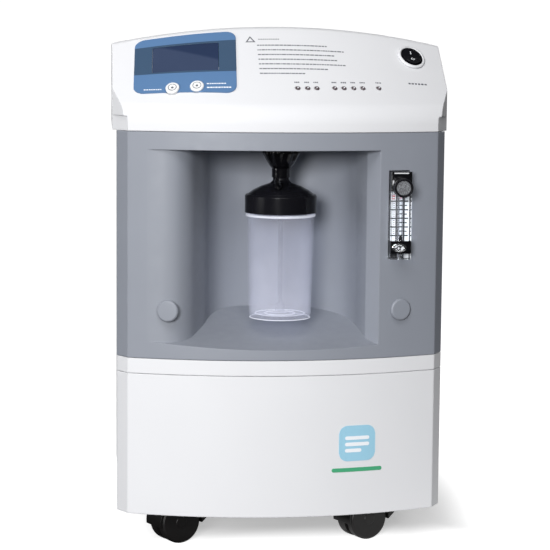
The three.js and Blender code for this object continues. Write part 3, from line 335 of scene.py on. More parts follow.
def moulded(name, colour, roughness=0.5, grain=0.45, relief=0.12, mottle=0.02, edge=0.8,
            metallic=0.0, coat=0.0, second=None, pattern=None, **extra):
    """A moulded, cast or painted surface: fine grain, slight colour and gloss variation.

    grain is the size of the grain and edge the rounding drawn on sharp edges, both in mm.
    second is another colour and pattern(tree, coords) the mask that brings it in.
    """
    made, tree = new_material(name)
    coords = add(tree, "TexCoord").outputs["Object"]
    fine = add(tree, "TexNoise", {"Vector": coords, "Scale": 1000 / grain, "Detail": 2.0})
    broad = add(tree, "TexNoise", {"Vector": coords, "Scale": 14.0, "Detail": 5.0})
    streak = add(tree, "TexNoise", {"Vector": coords, "Scale": 90.0, "Detail": 3.0})
    tone = add(tree, "MapRange", {"Value": broad.outputs["Fac"], "From Min": 0.3, "From Max": 0.7,
                                  "To Min": 1 - mottle, "To Max": 1 + mottle})
    base = add(tree, "RGB")
    base.outputs[0].default_value = (*colour, 1)
    paint = base.outputs[0]
    if pattern:
        mix = add(tree, "Mix", {0: pattern(tree, coords), 6: paint, 7: (*second, 1)}, data_type="RGBA")
        paint = mix.outputs[2]
    tinted = add(tree, "VectorMath", {0: paint}, operation="SCALE")
    tree.links.new(tone.outputs[0], tinted.inputs["Scale"])
    gloss = add(tree, "MapRange", {"Value": streak.outputs["Fac"], "From Min": 0.3, "From Max": 0.7,
                                   "To Min": roughness * 0.88, "To Max": min(1.0, roughness * 1.12)})
    bump = add(tree, "Bump", {"Height": fine.outputs["Fac"], "Strength": relief, "Distance": GRAIN_DEPTH})
    if edge:
        rounded = add(tree, "Bevel", {"Radius": edge * MM}, samples=4)
        tree.links.new(rounded.outputs[0], bump.inputs["Normal"])
    shader = add(tree, "BsdfPrincipled", {
        "Base Color": tinted.outputs[0], "Roughness": gloss.outputs[0], "Metallic": metallic,
        "Coat Weight": coat, "Coat Roughness": 0.08, "Normal": bump.outputs[0], **extra})
    add(tree, "OutputMaterial", {"Surface": shader.outputs[0]})
    return made


def see_through(name, colour, roughness, opacity, grain=1.2, low=None, high=None, glow=0.0):
    """A clear or hazy plastic. low and high are (height in mm, opacity), and opacity runs between them. glow is
    painted light: an emission that stands in for light scattered inside the milky plastic.
    """
    made, tree = new_material(name)
    coords = add(tree, "TexCoord").outputs["Object"]
    fine = add(tree, "TexNoise", {"Vector": coords, "Scale": 1000 / grain, "Detail": 2.0})
    cloud = add(tree, "TexNoise", {"Vector": coords, "Scale": 35.0, "Detail": 4.0})
    bump = add(tree, "Bump", {"Height": fine.outputs["Fac"], "Strength": 0.05, "Distance": GRAIN_DEPTH})
    gloss = add(tree, "MapRange", {"Value": cloud.outputs["Fac"],
                                   "To Min": roughness * 0.8, "To Max": roughness * 1.3})
    body = add(tree, "BsdfPrincipled", {
        "Base Color": (*colour, 1), "Roughness": gloss.outputs[0], "Normal": bump.outputs[0],
        "Emission Color": (*colour, 1), "Emission Strength": glow, "IOR": 1.45})
    passed = add(tree, "BsdfTranslucent", {"Color": (*colour, 1)})
    hazy = add(tree, "MixShader", {0: 0.5, 1: body.outputs[0], 2: passed.outputs[0]})
    clear = add(tree, "BsdfTransparent", {"Color": (0.96, 0.97, 1.0, 1)})
    amount = add(tree, "MapRange", {"Value": cloud.outputs["Fac"], "From Min": 0.3, "From Max": 0.7,
                                    "To Min": opacity - 0.03, "To Max": opacity + 0.03})
    factor = amount.outputs[0]
    if low:
        height = add(tree, "SeparateXYZ", {0: coords}).outputs["Z"]
        ramp = add(tree, "MapRange", {"Value": height, "From Min": low[0] * MM, "From Max": high[0] * MM,
                                      "To Min": low[1] - opacity, "To Max": high[1] - opacity})
        factor = add(tree, "Math", {0: factor, 1: ramp.outputs[0]}, operation="ADD").outputs[0]
    mix = add(tree, "MixShader", {0: factor, 1: clear.outputs[0], 2: hazy.outputs[0]})
    add(tree, "OutputMaterial", {"Surface": mix.outputs[0]})
    return made


def acrylic(name):
    """Polished acrylic: refracts, and lets shadow rays through."""
    made, tree = new_material(name)
    coords = add(tree, "TexCoord").outputs["Object"]
    wave = add(tree, "TexNoise", {"Vector": coords, "Scale": 60.0, "Detail": 2.0})
    bump = add(tree, "Bump", {"Height": wave.outputs["Fac"], "Strength": 0.03, "Distance": 0.0005})
    gloss = add(tree, "MapRange", {"Value": wave.outputs["Fac"], "To Min": 0.01, "To Max": 0.05})
    glass = add(tree, "BsdfPrincipled", {
        "Base Color": (0.97, 0.98, 1.0, 1), "Transmission Weight": 1.0, "IOR": 1.49,
        "Roughness": gloss.outputs[0], "Normal": bump.outputs[0]})
    clear = add(tree, "BsdfTransparent", {"Color": (0.93, 0.95, 0.97, 1)})
    shadow = add(tree, "LightPath").outputs["Is Shadow Ray"]
    mix = add(tree, "MixShader", {0: shadow, 1: glass.outputs[0], 2: clear.outputs[0]})
    add(tree, "OutputMaterial", {"Surface": mix.outputs[0]})
    return made


def speckles(scale, low, high):
    def mask(tree, coords):
        cells = add(tree, "TexNoise", {"Vector": coords, "Scale": scale, "Detail": 1.0})
        return add(tree, "MapRange", {"Value": cells.outputs["Fac"], "From Min": low, "From Max": high}).outputs[0]
    return mask


def band_mask(low, high, soft=0.25):
    """A printed band between two distances up the slope, read from the sheet's own map."""
    def mask(tree, coords):
        uv = add(tree, "UVMap", uv_map="slope").outputs[0]
        v = add(tree, "SeparateXYZ", {0: uv}).outputs["Y"]
        up = add(tree, "MapRange", {"Value": v, "From Min": low - soft, "From Max": low + soft})
        down = add(tree, "MapRange", {"Value": v, "From Min": high - soft, "From Max": high + soft,
                                      "To Min": 1.0, "To Max": 0.0})
        return add(tree, "Math", {0: up.outputs[0], 1: down.outputs[0]}, operation="MULTIPLY").outputs[0]
    return mask


def painted_reflection(tree, coords):
    """Painted reflection on the unlit display: a darker upper right half, with a slanting border."""
    uv = add(tree, "UVMap", uv_map="slope").outputs[0]
    split = add(tree, "SeparateXYZ", {0: uv})
    fall = add(tree, "Math", {0: split.outputs["X"], 1: 0.42}, operation="MULTIPLY")
    height = add(tree, "Math", {0: split.outputs["Y"], 1: fall.outputs[0]}, operation="ADD")
    return add(tree, "MapRange", {"Value": height.outputs[0], "From Min": 42.5, "From Max": 46.5}).outputs[0]


WHITE = moulded("white shell", (0.735, 0.74, 0.762), 0.55, grain=0.6, relief=0.10, mottle=0.008, edge=1.6,
                **{"Specular IOR Level": 0.25})
GREY = moulded("grey panel", (0.256, 0.274, 0.316), 0.5, grain=0.6, relief=0.14, mottle=0.015, edge=1.4)
BLUE = moulded("blue overlay", linear(88, 123, 165), 0.34, grain=0.5, relief=0.05, mottle=0.01, edge=0.3,
               second=linear(60, 83, 109), pattern=band_mask(55.4, 104.0))
# the screen's darker upper right half is a painted reflection
SCREEN = moulded("screen", linear(58, 70, 96), 0.12, grain=0.8, relief=0.01, mottle=0.05, edge=0.2,
                 second=linear(41, 54, 82), pattern=painted_reflection)
BUTTON = moulded("button", (0.82, 0.83, 0.84), 0.3, grain=0.5, relief=0.05, edge=0.3)
BLACK = moulded("black gloss", (0.006, 0.006, 0.008), 0.2, grain=0.9, relief=0.03, mottle=0.1, edge=0.5,
                **{"Specular IOR Level": 0.15})
GLOSS = moulded("wet black", (0.003, 0.003, 0.004), 0.08, grain=2.2, relief=0.9, mottle=0.1, edge=0.3,
                **{"Specular IOR Level": 0.45})
DULL_BLACK = moulded("black plastic", (0.012, 0.012, 0.014), 0.45, grain=0.4, relief=0.2, mottle=0.08, edge=0.5)
CASTER = moulded("caster plastic", (0.0075, 0.007, 0.007), 0.34, grain=0.5, relief=0.15, mottle=0.1, edge=0.6)
TREAD = moulded("caster tread", (0.0105, 0.0095, 0.0095), 0.42, grain=0.5, relief=0.15, mottle=0.1, edge=0.6)
RED = moulded("red plastic", linear(179, 38, 30), 0.3, edge=0.4)
PRINT = moulded("grey print", linear(98, 100, 108), 0.5, grain=0.3, relief=0.05, edge=0)
WHITE_PRINT = moulded("white print", (0.86, 0.88, 0.92), 0.5, grain=0.3, relief=0.05, edge=0)
BLACK_PRINT = moulded("black print", (0.01, 0.01, 0.012), 0.5, grain=0.3, relief=0.05, edge=0)
RED_PRINT = moulded("red print", linear(190, 100, 110), 0.5, grain=0.3, relief=0.05, edge=0)
BADGE = moulded("badge", linear(156, 204, 226), 0.35, grain=0.4, relief=0.04, mottle=0.03, edge=0.2)
GREEN_PRINT = moulded("green print", linear(70, 165, 120), 0.4, grain=0.3, relief=0.05, edge=0)
LENS = moulded("lamp lens", linear(92, 82, 86), 0.25, grain=0.4, relief=0.05, edge=0.2)
SCALE = moulded("scale plate", (0.60, 0.61, 0.63), 0.4, grain=0.4, relief=0.04, edge=0.2)
FACE = moulded("knob face", linear(84, 86, 90), 0.4, grain=0.3, relief=0.3, edge=0.2,
               second=linear(132, 134, 138), pattern=speckles(900, 0.48, 0.6))
# painted highlights: the union's pale speckles stand for glints on a dark fitting
UNION = moulded("union", linear(52, 54, 58), 0.3, grain=0.5, relief=0.3, edge=0.2,
                second=linear(220, 223, 228), pattern=speckles(380, 0.47, 0.53))
CHROME = moulded("bright metal", (0.66, 0.67, 0.69), 0.16, grain=0.7, relief=0.04, metallic=1.0, edge=0.4)
ALUMINIUM = moulded("aluminium", (0.60, 0.61, 0.62), 0.38, grain=0.5, relief=0.15, metallic=1.0, edge=2.0)
CAST = moulded("cast housing", (0.20, 0.21, 0.22), 0.6, grain=1.0, relief=0.5, metallic=0.8, mottle=0.08, edge=1.5)
PAINTED = moulded("painted steel", (0.045, 0.048, 0.055), 0.5, grain=0.8, relief=0.25, mottle=0.05, edge=0.8)
BOARD = moulded("circuit board", (0.016, 0.10, 0.045), 0.45, grain=0.5, relief=0.1, edge=0.3,
                second=(0.05, 0.20, 0.10), pattern=speckles(300, 0.5, 0.52))
RUBBER = moulded("rubber", (0.018, 0.018, 0.018), 0.8, grain=0.5, relief=0.3, edge=0.5)
FOAM = moulded("filter foam", (0.02, 0.021, 0.024), 1.0, grain=1.6, relief=1.0, mottle=0.3, edge=0,
               second=(0.06, 0.062, 0.066), pattern=speckles(700, 0.45, 0.6))
HOSE = moulded("hose", (0.62, 0.60, 0.54), 0.45, grain=0.5, relief=0.06, edge=1.5)
# the jar's and the lip's glow is painted light, standing in for light scattered in the milky plastic
JAR = see_through("milky jar", (0.88, 0.885, 0.95), 0.42, 0.2, low=(276, 0.25), high=(392, 0.12), glow=0.38)
LIP = see_through("jar lip", (0.92, 0.93, 0.98), 0.25, 0.75, glow=0.35)
DIP = see_through("dip tube", (0.62, 0.64, 0.70), 0.35, 0.22)
CLEAR = acrylic("clear acrylic")


# ------------------------------------------------------------------ front mouldings and side covers

def front_path(edge_r=4.0):
    x = np.linspace(-EDGE_X, EDGE_X, 65)
    points = [(-BODY_X, BEVEL_END_Y), *zip(x, front_y(x) + SETBACK), (BODY_X, BEVEL_END_Y)]
    radii = [0, edge_r, *([0] * 63), edge_r, 0]
    return fillet(points, radii, 6)


def wall_section(z0, z1, thickness=3.0, r=0.9):
    return fillet([(0, z0), (0, z1), (thickness, z1), (thickness, z0)], [r, r, 0.2, 0.2], 3, closed=True)


piece("lower_cover_shell", sweep(front_path(), wall_section(61, 218.8, r=0.6)), WHITE,
      stands_for=["lower_front_cover"])
piece("belt_shell", sweep(front_path(), wall_section(219.2, 236, r=0.6)), WHITE,
      stands_for=["front_belt"])

for side, word in ((-1, "left"), (1, "right")):
    path = np.concatenate([
        np.linspace((BODY_X - 3, BEVEL_END_Y + 0.3), (BODY_REAR_X - 0.2, REAR_Y - 22), 20),
        arc(BODY_REAR_X - 20, REAR_Y - 21, 20, 0, 90, 16)[1:],
        np.linspace((BODY_REAR_X - 21, REAR_Y - 1), (REAR_HALF, REAR_Y - 1), 4)])
    verts, faces = sweep(path, wall_section(61, 485.7, 2.5, 0.6))
    piece(f"side_shell_{word}", (verts * (side, 1, 1), faces), WHITE,
          stands_for=[f"side_cover_{word}"])


# ------------------------------------------------------------------ grey panel with its bay

BAY_TOP, BAY_LOW, BAY_FALL, BAY_BACK = 466.0, 247.5, 0.28, -55.0
PANEL_LOW, PANEL_TOP, PANEL_WALL = 236.3, 485.7, 3.0
PLUG_X, PLUG_Z = 128.5, 290
METER_SLOT = (114, 138, -190, -120, 346.5, 444)
OUTLET_R, PLUG_R = 6.5, 3.0


def bay_line():
    """The bay's wall in plan, from the left cylinder round the back to the right edge."""
    left = [(-158, front_y(-158) + 0.2), (-146, front_y(-146) + 1), (-130, front_y(-130) + 3.6),
            (-115, front_y(-115) + 10), (-103, front_y(-103) + 23), (-93, front_y(-93) + 44),
            (-84, -104), (-76, -83), (-64, -66), (-46, -57), (-22, BAY_BACK)]
    right = [(10, BAY_BACK), (34, -59), (58, -70), (76, -85), (85, -104), (89, -124), (92.5, -146)]
    return np.concatenate([spline(left, 70), spline(right, 40), [(104.5, front_y(104.5) - 0.6)]])


def bay_space(margin):
    """The bay's air, grown by a margin; its floor falls towards the front."""
    wall = offset(bay_line(), margin) if margin else bay_line()
    outline = np.concatenate([[(wall[0, 0], FRONT_Y - 30)], wall, [(wall[-1, 0], FRONT_Y - 30)]])
    space = mesh_object("space", prism_z(outline, 200, BAY_TOP + margin))

    def level(y):
        return BAY_LOW + BAY_FALL * (y - FRONT_Y) - margin
    floor = prism_x([(-260, 150), (0, 150), (0, level(0)), (FRONT_Y, level(FRONT_Y)), (-260, level(FRONT_Y))],
                    -170, 170)
    return combine(space, "DIFFERENCE", floor)


def faces_of(obj):
    return np.array([v.co for v in obj.data.vertices]) / MM, [tuple(p.vertices) for p in obj.data.polygons]


def shape_of(obj):
    """An object's mesh as a shape, and the object is dropped."""
    shape = faces_of(obj)
    bpy.data.objects.remove(obj, do_unlink=True)
    return shape


def plug_frame(side):
    x = side * PLUG_X
    lean = math.degrees(math.atan(2 * BOW * x / EDGE_X ** 2))
    return place(x, front_y(x) + SETBACK, PLUG_Z) @ turn("Z", lean) @ turn("X", 90)


x = np.linspace(-170, 170, 65)
behind = prism_z([*zip(x, front_y(x) + SETBACK + 0.02), (170, 0), (-170, 0)], 237, 485)
liner = combine(bay_space(PANEL_WALL), "INTERSECT", behind)
panel = mesh_object("front_panel_shell", sweep(front_path(), wall_section(PANEL_LOW, PANEL_TOP)))
combine(panel, "UNION", shape_of(liner))
combine(panel, "DIFFERENCE", shape_of(bay_space(0)), block(*METER_SLOT),
        moved(rod(OUTLET_R, BAY_TOP - 5, BAY_TOP + 8), place(*BOTTLE)),
        *[moved(rod(PLUG_R, -8, 8, 24), plug_frame(side)) for side in (-1, 1)])
finish(panel, GREY, stands_for=["front_mid_panel"], smooth=28)

plug = fillet([(0, -4), (2.6, -4), (2.6, 1.3), (11.4, 1.3), (12, 2), (12, 3.4), (10.6, 4.6), (0, 4.9)],
              [0, 0, 0, 0.3, 0.5, 0.8, 1.2, 0], 4)
for side, word in ((-1, "left"), (1, "right")):
    piece(f"screw_cover_{word}", moved(lathe(plug), plug_frame(side)), GREY,
          stands_for=[f"screw_cap_{word}"])


# ------------------------------------------------------------------ cap

CAP_EDGE_X, CAP_BAND_EDGE_X, CAP_WALL = 175.6, 171.8, 3
GRIP_X, GRIP_Y, GRIP_Z = 160, (-98, 12), (506, 534)
GRIP_WALL, GRIP_ROOM = 2.2, 2.5
LAMP_HEIGHT = 21.5


def cap_profile(inset, fine):
    """The cap's outline from the side, before bend: foot, bend, slope, crest, top, rear."""
    rear_top = TOP_Z - 6
    up = np.linspace(0, 1, fine + 1)[1:-1]
    bend_arc = arc(FRONT_Y + BEND_R, 494, BEND_R - inset, 180, 135, 2 * fine)
    crest = arc(CREST_Y, CREST_Z, CREST_R - inset, 135, 91, fine)
    rear = arc(REAR_Y - 14, rear_top - 14, 14 - inset, 90, 0, fine)
    slope = [bend_arc[-1] + (crest[0] - bend_arc[-1]) * t for t in up]
    top = [crest[-1] + (rear[0] - crest[-1]) * t for t in up]
    low = CAP_Z - inset
    return np.concatenate([[(FRONT_Y + inset, low)], bend_arc, slope, crest, top, rear, [(REAR_Y - inset, low)]])


def cap_plan(edge_x, inset):
    """The cap's outline from above, with its front corners bevelled."""
    corner = arc(CAP_REAR_X - 26, REAR_Y - 26, 26 - inset, 0, 90, 12)
    half = [(edge_x - inset / 2, FRONT_Y - 20), (edge_x - inset / 2, front_y(edge_x)),
            (CAP_X - inset, FRONT_Y + BOW + 30), *corner]
    half = fillet(half, [0, 4 if not inset else 0, 3 if not inset else 0, *([0] * 13)], 5)
    return np.concatenate([half, half[::-1] * (-1, 1)])


def bent_prism(inset, fine, columns):
    profile = cap_profile(inset, fine)
    rings = [bend(np.column_stack([np.full(len(profile), x), profile]))
             for x in np.linspace(-CAP_X, CAP_X, columns)]
    return loft(rings)


def grip_space(side, margin):
    """The air in a hand grip, grown by a margin."""
    x, outside = GRIP_X - margin, CAP_X + 12.5
    (front, rear), (low, high) = GRIP_Y, GRIP_Z
    outline = fillet([(x + 8, front - margin), (x, front + 10), (x, rear - 10), (x + 8, rear + margin),
                      (outside, rear + margin), (outside, front - margin)], [3, 3, 3, 3, 0, 0], 4, closed=True)
    verts, faces = prism_z(outline, low - margin, high + margin)
    return verts * (side, 1, 1), faces


SCREEN_BOX = (-143.5, -71.0, 57.5, 101.0)
BUTTONS = (("left", -122.8, 30.0), ("right", -96.4, 32.5))
LAMP_XS = (13, 24, 34.2, 54.5, 64.8, 76, 86.5, 105)
SWITCH = (149.0, 90.0)


def slope_rod(x, s, r, segments=48):
    return moved(rod(r, -9, 9, segments), slope_frame(x, s))


cap = mesh_object("cap_shell", bent_prism(0, 8, 97))
plans = mesh_object("plans", prism_z(cap_plan(CAP_EDGE_X, 0), BAND_Z - 1, TOP_Z + 5))
combine(plans, "UNION", prism_z(cap_plan(CAP_BAND_EDGE_X, 0), CAP_Z, BAND_Z))
combine(cap, "INTERSECT", shape_of(plans))
grips = [combine(mesh_object(f"grip_cup_{word}", grip_space(side, GRIP_WALL)), "INTERSECT", faces_of(cap))
         for side, word in ((-1, "left"), (1, "right"))]
hollow = mesh_object("hollow", bent_prism(CAP_WALL, 3, 25))
combine(hollow, "INTERSECT", prism_z(cap_plan(CAP_BAND_EDGE_X - 0.8, CAP_WALL), CAP_Z - 5, TOP_Z))
middle = slope_frame((SCREEN_BOX[0] + SCREEN_BOX[1]) / 2, 0)
half = (SCREEN_BOX[1] - SCREEN_BOX[0]) / 2 - 4
combine(cap, "DIFFERENCE", shape_of(hollow), block(-172, 172, -137.5, 181.5, 484, 488),
        grip_space(-1, GRIP_ROOM), grip_space(1, GRIP_ROOM), moved(block(-half, half, 61.5, 97, -12, 8), middle),
        *[slope_rod(x, s, 8.5) for _, x, s in BUTTONS],
        *[slope_rod(x, slope_s(x, LAMP_HEIGHT), 3.0, 24) for x in LAMP_XS], slope_rod(*SWITCH, 14.5))
finish(cap, WHITE, stands_for=["top_cap"], smooth=28)
for grip, side, word in zip(grips, (-1, 1), ("left", "right")):
    combine(grip, "DIFFERENCE", grip_space(side, 0))
    finish(grip, WHITE, stands_for=[f"grip_{word}"])


# ------------------------------------------------------------------ display, buttons, lamps, switch

def sheet(outline, low, high, step=2.5):
    """A thin sheet on the slope: an outline in x and s, between two lifts."""
    o = np.asarray(outline, float)
    lo, hi = o.min(0) - 3, o.max(0) + 3
    nx, ns = int((hi[0] - lo[0]) / step) + 1, int((hi[1] - lo[1]) / step) + 1
    xs, ss = np.linspace(lo[0], hi[0], nx + 1), np.linspace(lo[1], hi[1], ns + 1)
    rings = []
    for x in xs:
        ring = [on_slope(x, s, high) for s in ss] + [on_slope(x, s, low) for s in ss[::-1]]
        rings.append(ring)
    slab = mesh_object("sheet", loft(rings))
    walls = loft([[on_slope(x, s, lift) for x, s in o] for lift in (low - 3, high + 3)])
    return combine(slab, "INTERSECT", walls)


def map_slope(obj):
    """Gives a sheet a map of x and s, in mm, for its printed pattern."""
    uv = obj.data.uv_layers.new(name="slope")
    co = np.array([v.co for v in obj.data.vertices]) / MM
    k = ARCH * (co[:, 0] / CAP_X) ** 2
    z0 = (co[:, 2] - SLOPE_Z) / (1 - k / (TOP_Z - SLOPE_Z))
    y0 = co[:, 1] - BOW * (co[:, 0] / EDGE_X) ** 2 + k * z0 / (TOP_Z - SLOPE_Z) - FRONT_Y - 4
    s = (y0 + z0) / 2 / D
    for loop in obj.data.loops:
        uv.data[loop.index].uv = co[loop.vertex_index, 0], s[loop.vertex_index]
    return obj


def leaning(outline):
    """The film leans a little to the right up the slope."""
    o = np.array(outline, float)
    o[:, 0] += 0.05 * (o[:, 1] - 68)
    return o


overlay = sheet(leaning(rounded_box(-163, -52, 22.5, 117.5, 11, 10)), 0.3, 1.3)
window_walls = loft([[on_slope(x, s, lift) for x, s in leaning(rounded_box(*SCREEN_BOX, 1.5))] for lift in (-3, 4)])
combine(overlay, "DIFFERENCE", window_walls, *[slope_rod(x, s, 7.95) for _, x, s in BUTTONS])
overlay.name = "display_film"
finish(overlay, BLUE, stands_for=["display_overlay"], smooth=50)
map_slope(overlay)

glass = sheet(leaning(rounded_box(-143.2, -71.3, 57.8, 100.7, 1.2)), 0.3, 0.9)
glass.name = "screen_pane"
finish(glass, SCREEN, stands_for=["lcd_window"], smooth=50)
map_slope(glass)

cushion = fillet([(0, -4), (7.7, -4), (7.7, 2.2), (6.9, 3), (4.2, 3.1), (2.8, 2.7), (0, 2.6)],
                 [0, 0.3, 0.6, 0.6, 0.6, 0.4, 0], 4)
for word, x, s in BUTTONS:
    at = slope_frame(x, s)
    piece(f"button_cap_{word}", moved(lathe(cushion), at), BUTTON, f"button_{word}",
          [f"button_{word}"])
    dot = lathe([(0, 2.5), (1.4, 2.5), (1.4, 2.72), (1.2, 2.8), (0, 2.82)], 32)
    ring = lathe([(4.1, 3.0), (4.8, 3.0), (4.8, 3.16), (4.1, 3.16), (4.1, 3.0)], 48)
    piece(f"button_dot_{word}", moved(merged(dot, ring), at), PRINT, f"button_{word}")

lens = fillet([(0, -6), (2.6, -6), (2.6, 0.2), (1.8, 1), (0, 1.2)], [0, 0, 0.5, 0.6, 0], 4)
core = [(0, 1.15), (0.8, 1.15), (0.8, 1.25), (0, 1.3)]
spots = [slope_frame(x, slope_s(x, LAMP_HEIGHT)) for x in LAMP_XS]
line = np.array([(x, slope_s(x, LAMP_HEIGHT)) for x in (7, 59, 111)])
board_line = np.concatenate([offset(line, -5), offset(line, 5)[::-1]])
board = sheet(board_line, -6.5, -5, 5)
board.name = "lamp_board"
finish(board, BOARD, stands_for=["lamp_strip"])
piece("lamp_lenses", merged(*[moved(lathe(lens, 24), m) for m in spots]), LENS)
# painted highlights: a small pale disc in each lamp lens
piece("lamp_lens_highlights", merged(*[moved(lathe(core, 16), m) for m in spots]), WHITE_PRINT)

at = slope_frame(*SWITCH)
bezel = fillet([(13.3, -8), (14.2, -8), (14.2, 0.6), (16.5, 0.6), (16.2, 2.2), (14.6, 3), (13.3, 2.8)],
               [0, 0, 0, 0.4, 0.9, 0.8, 0.4], 4, closed=True)
collar = fillet([(12, -8), (13.2, -8), (13.2, 2.4), (12.6, 2.7), (12, 2.2)], [0, 0, 0.2, 0.3, 0.3], 4, closed=True)
piece("switch_collar", moved(lathe(np.concatenate([collar, collar[:1]])), at), BLACK)
piece("switch_ring", moved(lathe(np.concatenate([bezel, bezel[:1]])), at), WHITE,
      stands_for=["switch_bezel"])
crown = [(-16, -4), (16, -4), (16, 5.2), (9, 3.6), (0, 2), (-9, 3.6), (-16, 5.2)]
rocker = mesh_object("switch_rocker", rod(11.6, -6, 5, 64))
combine(rocker, "INTERSECT", prism_x(crown, -16, 16))
bevel(rocker, 0.5, 3, 35)
tilt = at @ place(0, 0, -1) @ turn("X", -8) @ place(0, 0, 1)
rocker.data.transform(Matrix(place(*(tilt[:3, 3] * MM)).tolist()) @ Matrix(tilt.tolist()).to_3x3().to_4x4())
finish(rocker, BLACK, "power_rocker", ["power_rocker"])


def on_rocker(shape, up):
    lean = math.degrees(math.atan2(1.6, 9)) * (1 if up > 0 else -1)
    return moved(shape, tilt @ place(0, up, 2 + 1.6 / 9 * abs(up)) @ turn("X", lean))


marks = [on_rocker(block(-0.45, 0.45, -2, 2, -0.2, 0.08), 5.4),
         on_rocker(lathe([(1.4, -0.2), (2.2, -0.2), (2.2, 0.08), (1.4, 0.08), (1.4, -0.2)], 32), -5.4)]
piece("switch_marks", merged(*marks), WHITE_PRINT, "power_rocker")


# ------------------------------------------------------------------ print on the slope, generic marks only

def slope_mark(outline, lift=0.0):
    o = np.asarray(outline, float)
    return loft([[on_slope(x, s, z) for x, s in o] for z in (lift - 0.2, lift + 0.09)])


def slope_bar(x0, x1, s, height, lift=0.0):
    xs = np.linspace(x0, x1, max(2, int((x1 - x0) / 4) + 1))
    outline = [(x, s - height / 2) for x in xs] + [(x, s + height / 2) for x in xs[::-1]]
    return slope_mark(outline, lift)


def word_bars(x0, x1, s, height, lift=0.0, least=1.2, most=4.6, gap=0.75):
    """A row of short dashes that stands in for a line of small print."""
    bars, x = [], x0
    while x < x1 - 1:
        end = min(x1, x + rng.uniform(least, most))
        bars.append(slope_bar(x, end, s, height, lift))
        x = end + gap
    return bars


print_marks = []
triangle = [(-39.6, 100.6), (-28.4, 100.6), (-34, 110)]
inner = [(-37.3, 101.9), (-30.7, 101.9), (-34, 107.5)]
for i in range(3):
    j = (i + 1) % 3
    print_marks.append(slope_mark([triangle[i], triangle[j], inner[j], inner[i]]))
print_marks += word_bars(-25, -1, 105, 1.2, least=1.4, most=1.8)
for row, end in enumerate((52, 70, 60, 61, 70, 50, 23)):
    print_marks += word_bars(-27, end, 95.7 - 7.2 * row, 1.6)
for x in LAMP_XS:
    print_marks += word_bars(x - 3.2, x + 3.2, slope_s(x, LAMP_HEIGHT) + 8.6, 1.9, least=1, most=1.8, gap=0.5)
print_marks += word_bars(141, 163, 43, 2.6, least=2.4, most=3, gap=1.2)
piece("slope_print", merged(*print_marks), PRINT, weighted=False)
film_marks = word_bars(-154, -135, 28.5, 1.5, 1.3, 1.4, 2.4, 0.6) + word_bars(-86, -64, 36.5, 1.5, 1.3, 1.4, 3, 0.6)
film_marks += word_bars(-86, -59, 30.5, 1.8, 1.3, 1.4, 3, 0.6)
piece("film_print", merged(*film_marks), WHITE_PRINT, weighted=False)


def front_mark(outline, depth=0.09):
    """A printed mark on the bowed front, from an outline in x and z."""
    o = np.asarray(outline, float)
    return loft([[(x, front_y(x) + SETBACK - d, z) for x, z in o] for d in (-0.2, depth)])


def front_slab(x0, x1, z0, z1, r, depth):
    """A thin rounded plate on the bowed front."""
    xs = np.concatenate([np.linspace(x0 + 0.01, x0 + r, 9), np.linspace(x0 + r, x1 - r, 7)[1:-1],
                         np.linspace(x1 - r, x1 - 0.01, 9)])
    reach = np.minimum(np.minimum(xs - x0, x1 - xs), r)
    fall = r - np.sqrt(np.maximum(r * r - (r - reach) ** 2, 0))
    return merged(*[front_mark([(a, z0 + f), (b, z0 + g), (b, z1 - g), (a, z1 - f)], depth)
                    for a, b, f, g in zip(xs, xs[1:], fall, fall[1:])])


piece("plain_badge", front_slab(60, 102, 122, 162, 10, 0.3), BADGE, smooth=60)
piece("plain_badge_bars", merged(front_slab(67, 95, 146, 150, 1.9, 0.42), front_slab(67, 95, 139, 143, 1.9, 0.42),
                                 front_slab(67, 86, 132, 136, 1.9, 0.42)), WHITE_PRINT, smooth=60)
piece("plain_badge_foot", front_slab(52, 110, 110, 114.5, 2.1, 0.3), GREEN_PRINT, smooth=60)


# ------------------------------------------------------------------ flowmeter

KNOB_X, KNOB_Z = 126.0, 426.5
METER_FRONT, METER_BACK, SCALE_FACE = -172.5, -158.0, -157.6
tube_axis = place(126.5, -164)
knob_axis = place(KNOB_X, METER_FRONT, KNOB_Z) @ turn("X", 90)
plan = [(114.5, METER_BACK), (114.5, METER_FRONT + 1.2), (115.7, METER_FRONT), (136.3, METER_FRONT),
        (137.5, METER_FRONT + 1.2), (137.5, METER_BACK)]
bore = moved(rod(4, 345, 417), tube_axis)
stem_bore = moved(rod(4.2, -40, 40), knob_axis)


def on_scale(x0, x1, z0, z1, thickness):
    return block(x0, x1, SCALE_FACE - thickness, SCALE_FACE, z0, z1)


body = mesh_object("flowmeter_acrylic", merged(prism_z(plan, 347, 353.4), prism_z(plan, 367.4, 422)))
finish(combine(body, "DIFFERENCE", bore), CLEAR, stands_for=["flowmeter_body"])
housing = mesh_object("valve_housing", prism_z(plan, 422.1, 443.5))
finish(combine(housing, "DIFFERENCE", stem_bore), GLOSS, smooth=20)
union = mesh_object("inlet_union", prism_z(plan, 353.5, 367.3))
finish(combine(union, "DIFFERENCE", bore), GLOSS, smooth=20)
ellipse = [(8.2 * math.cos(a), 4.6 * math.sin(a)) for a in np.linspace(0, 2 * math.pi, 48, endpoint=False)]
rings = [[(124.2 + k * u, y, 360 + k * v) for u, v in ellipse]
         for k, y in ((1, -172.4), (1, -172.9), (0.9, -173.3), (0.7, -173.2), (0.62, -172.7), (0.62, -172.4))]
piece("union_ring", loft(rings + rings[:1], caps=False), CHROME)
core = [(124.2 + 0.66 * u, 360 + 0.66 * v) for u, v in ellipse]
piece("union_core", prism_y(core, -172.95, -172.4), UNION)
# painted highlights: two pale strips on the valve housing's top edge and left side; the third block is a pale plate
# behind the meter's foot
glints = [block(117.5, 134, -172.62, -172.4, 441.2, 442.5), block(115.8, 117.6, -172.62, -172.4, 428.5, 434),
          block(125, 136.4, -158.2, -157.9, 347.6, 352.8)]
piece("flowmeter_glints", merged(*glints), SCALE)

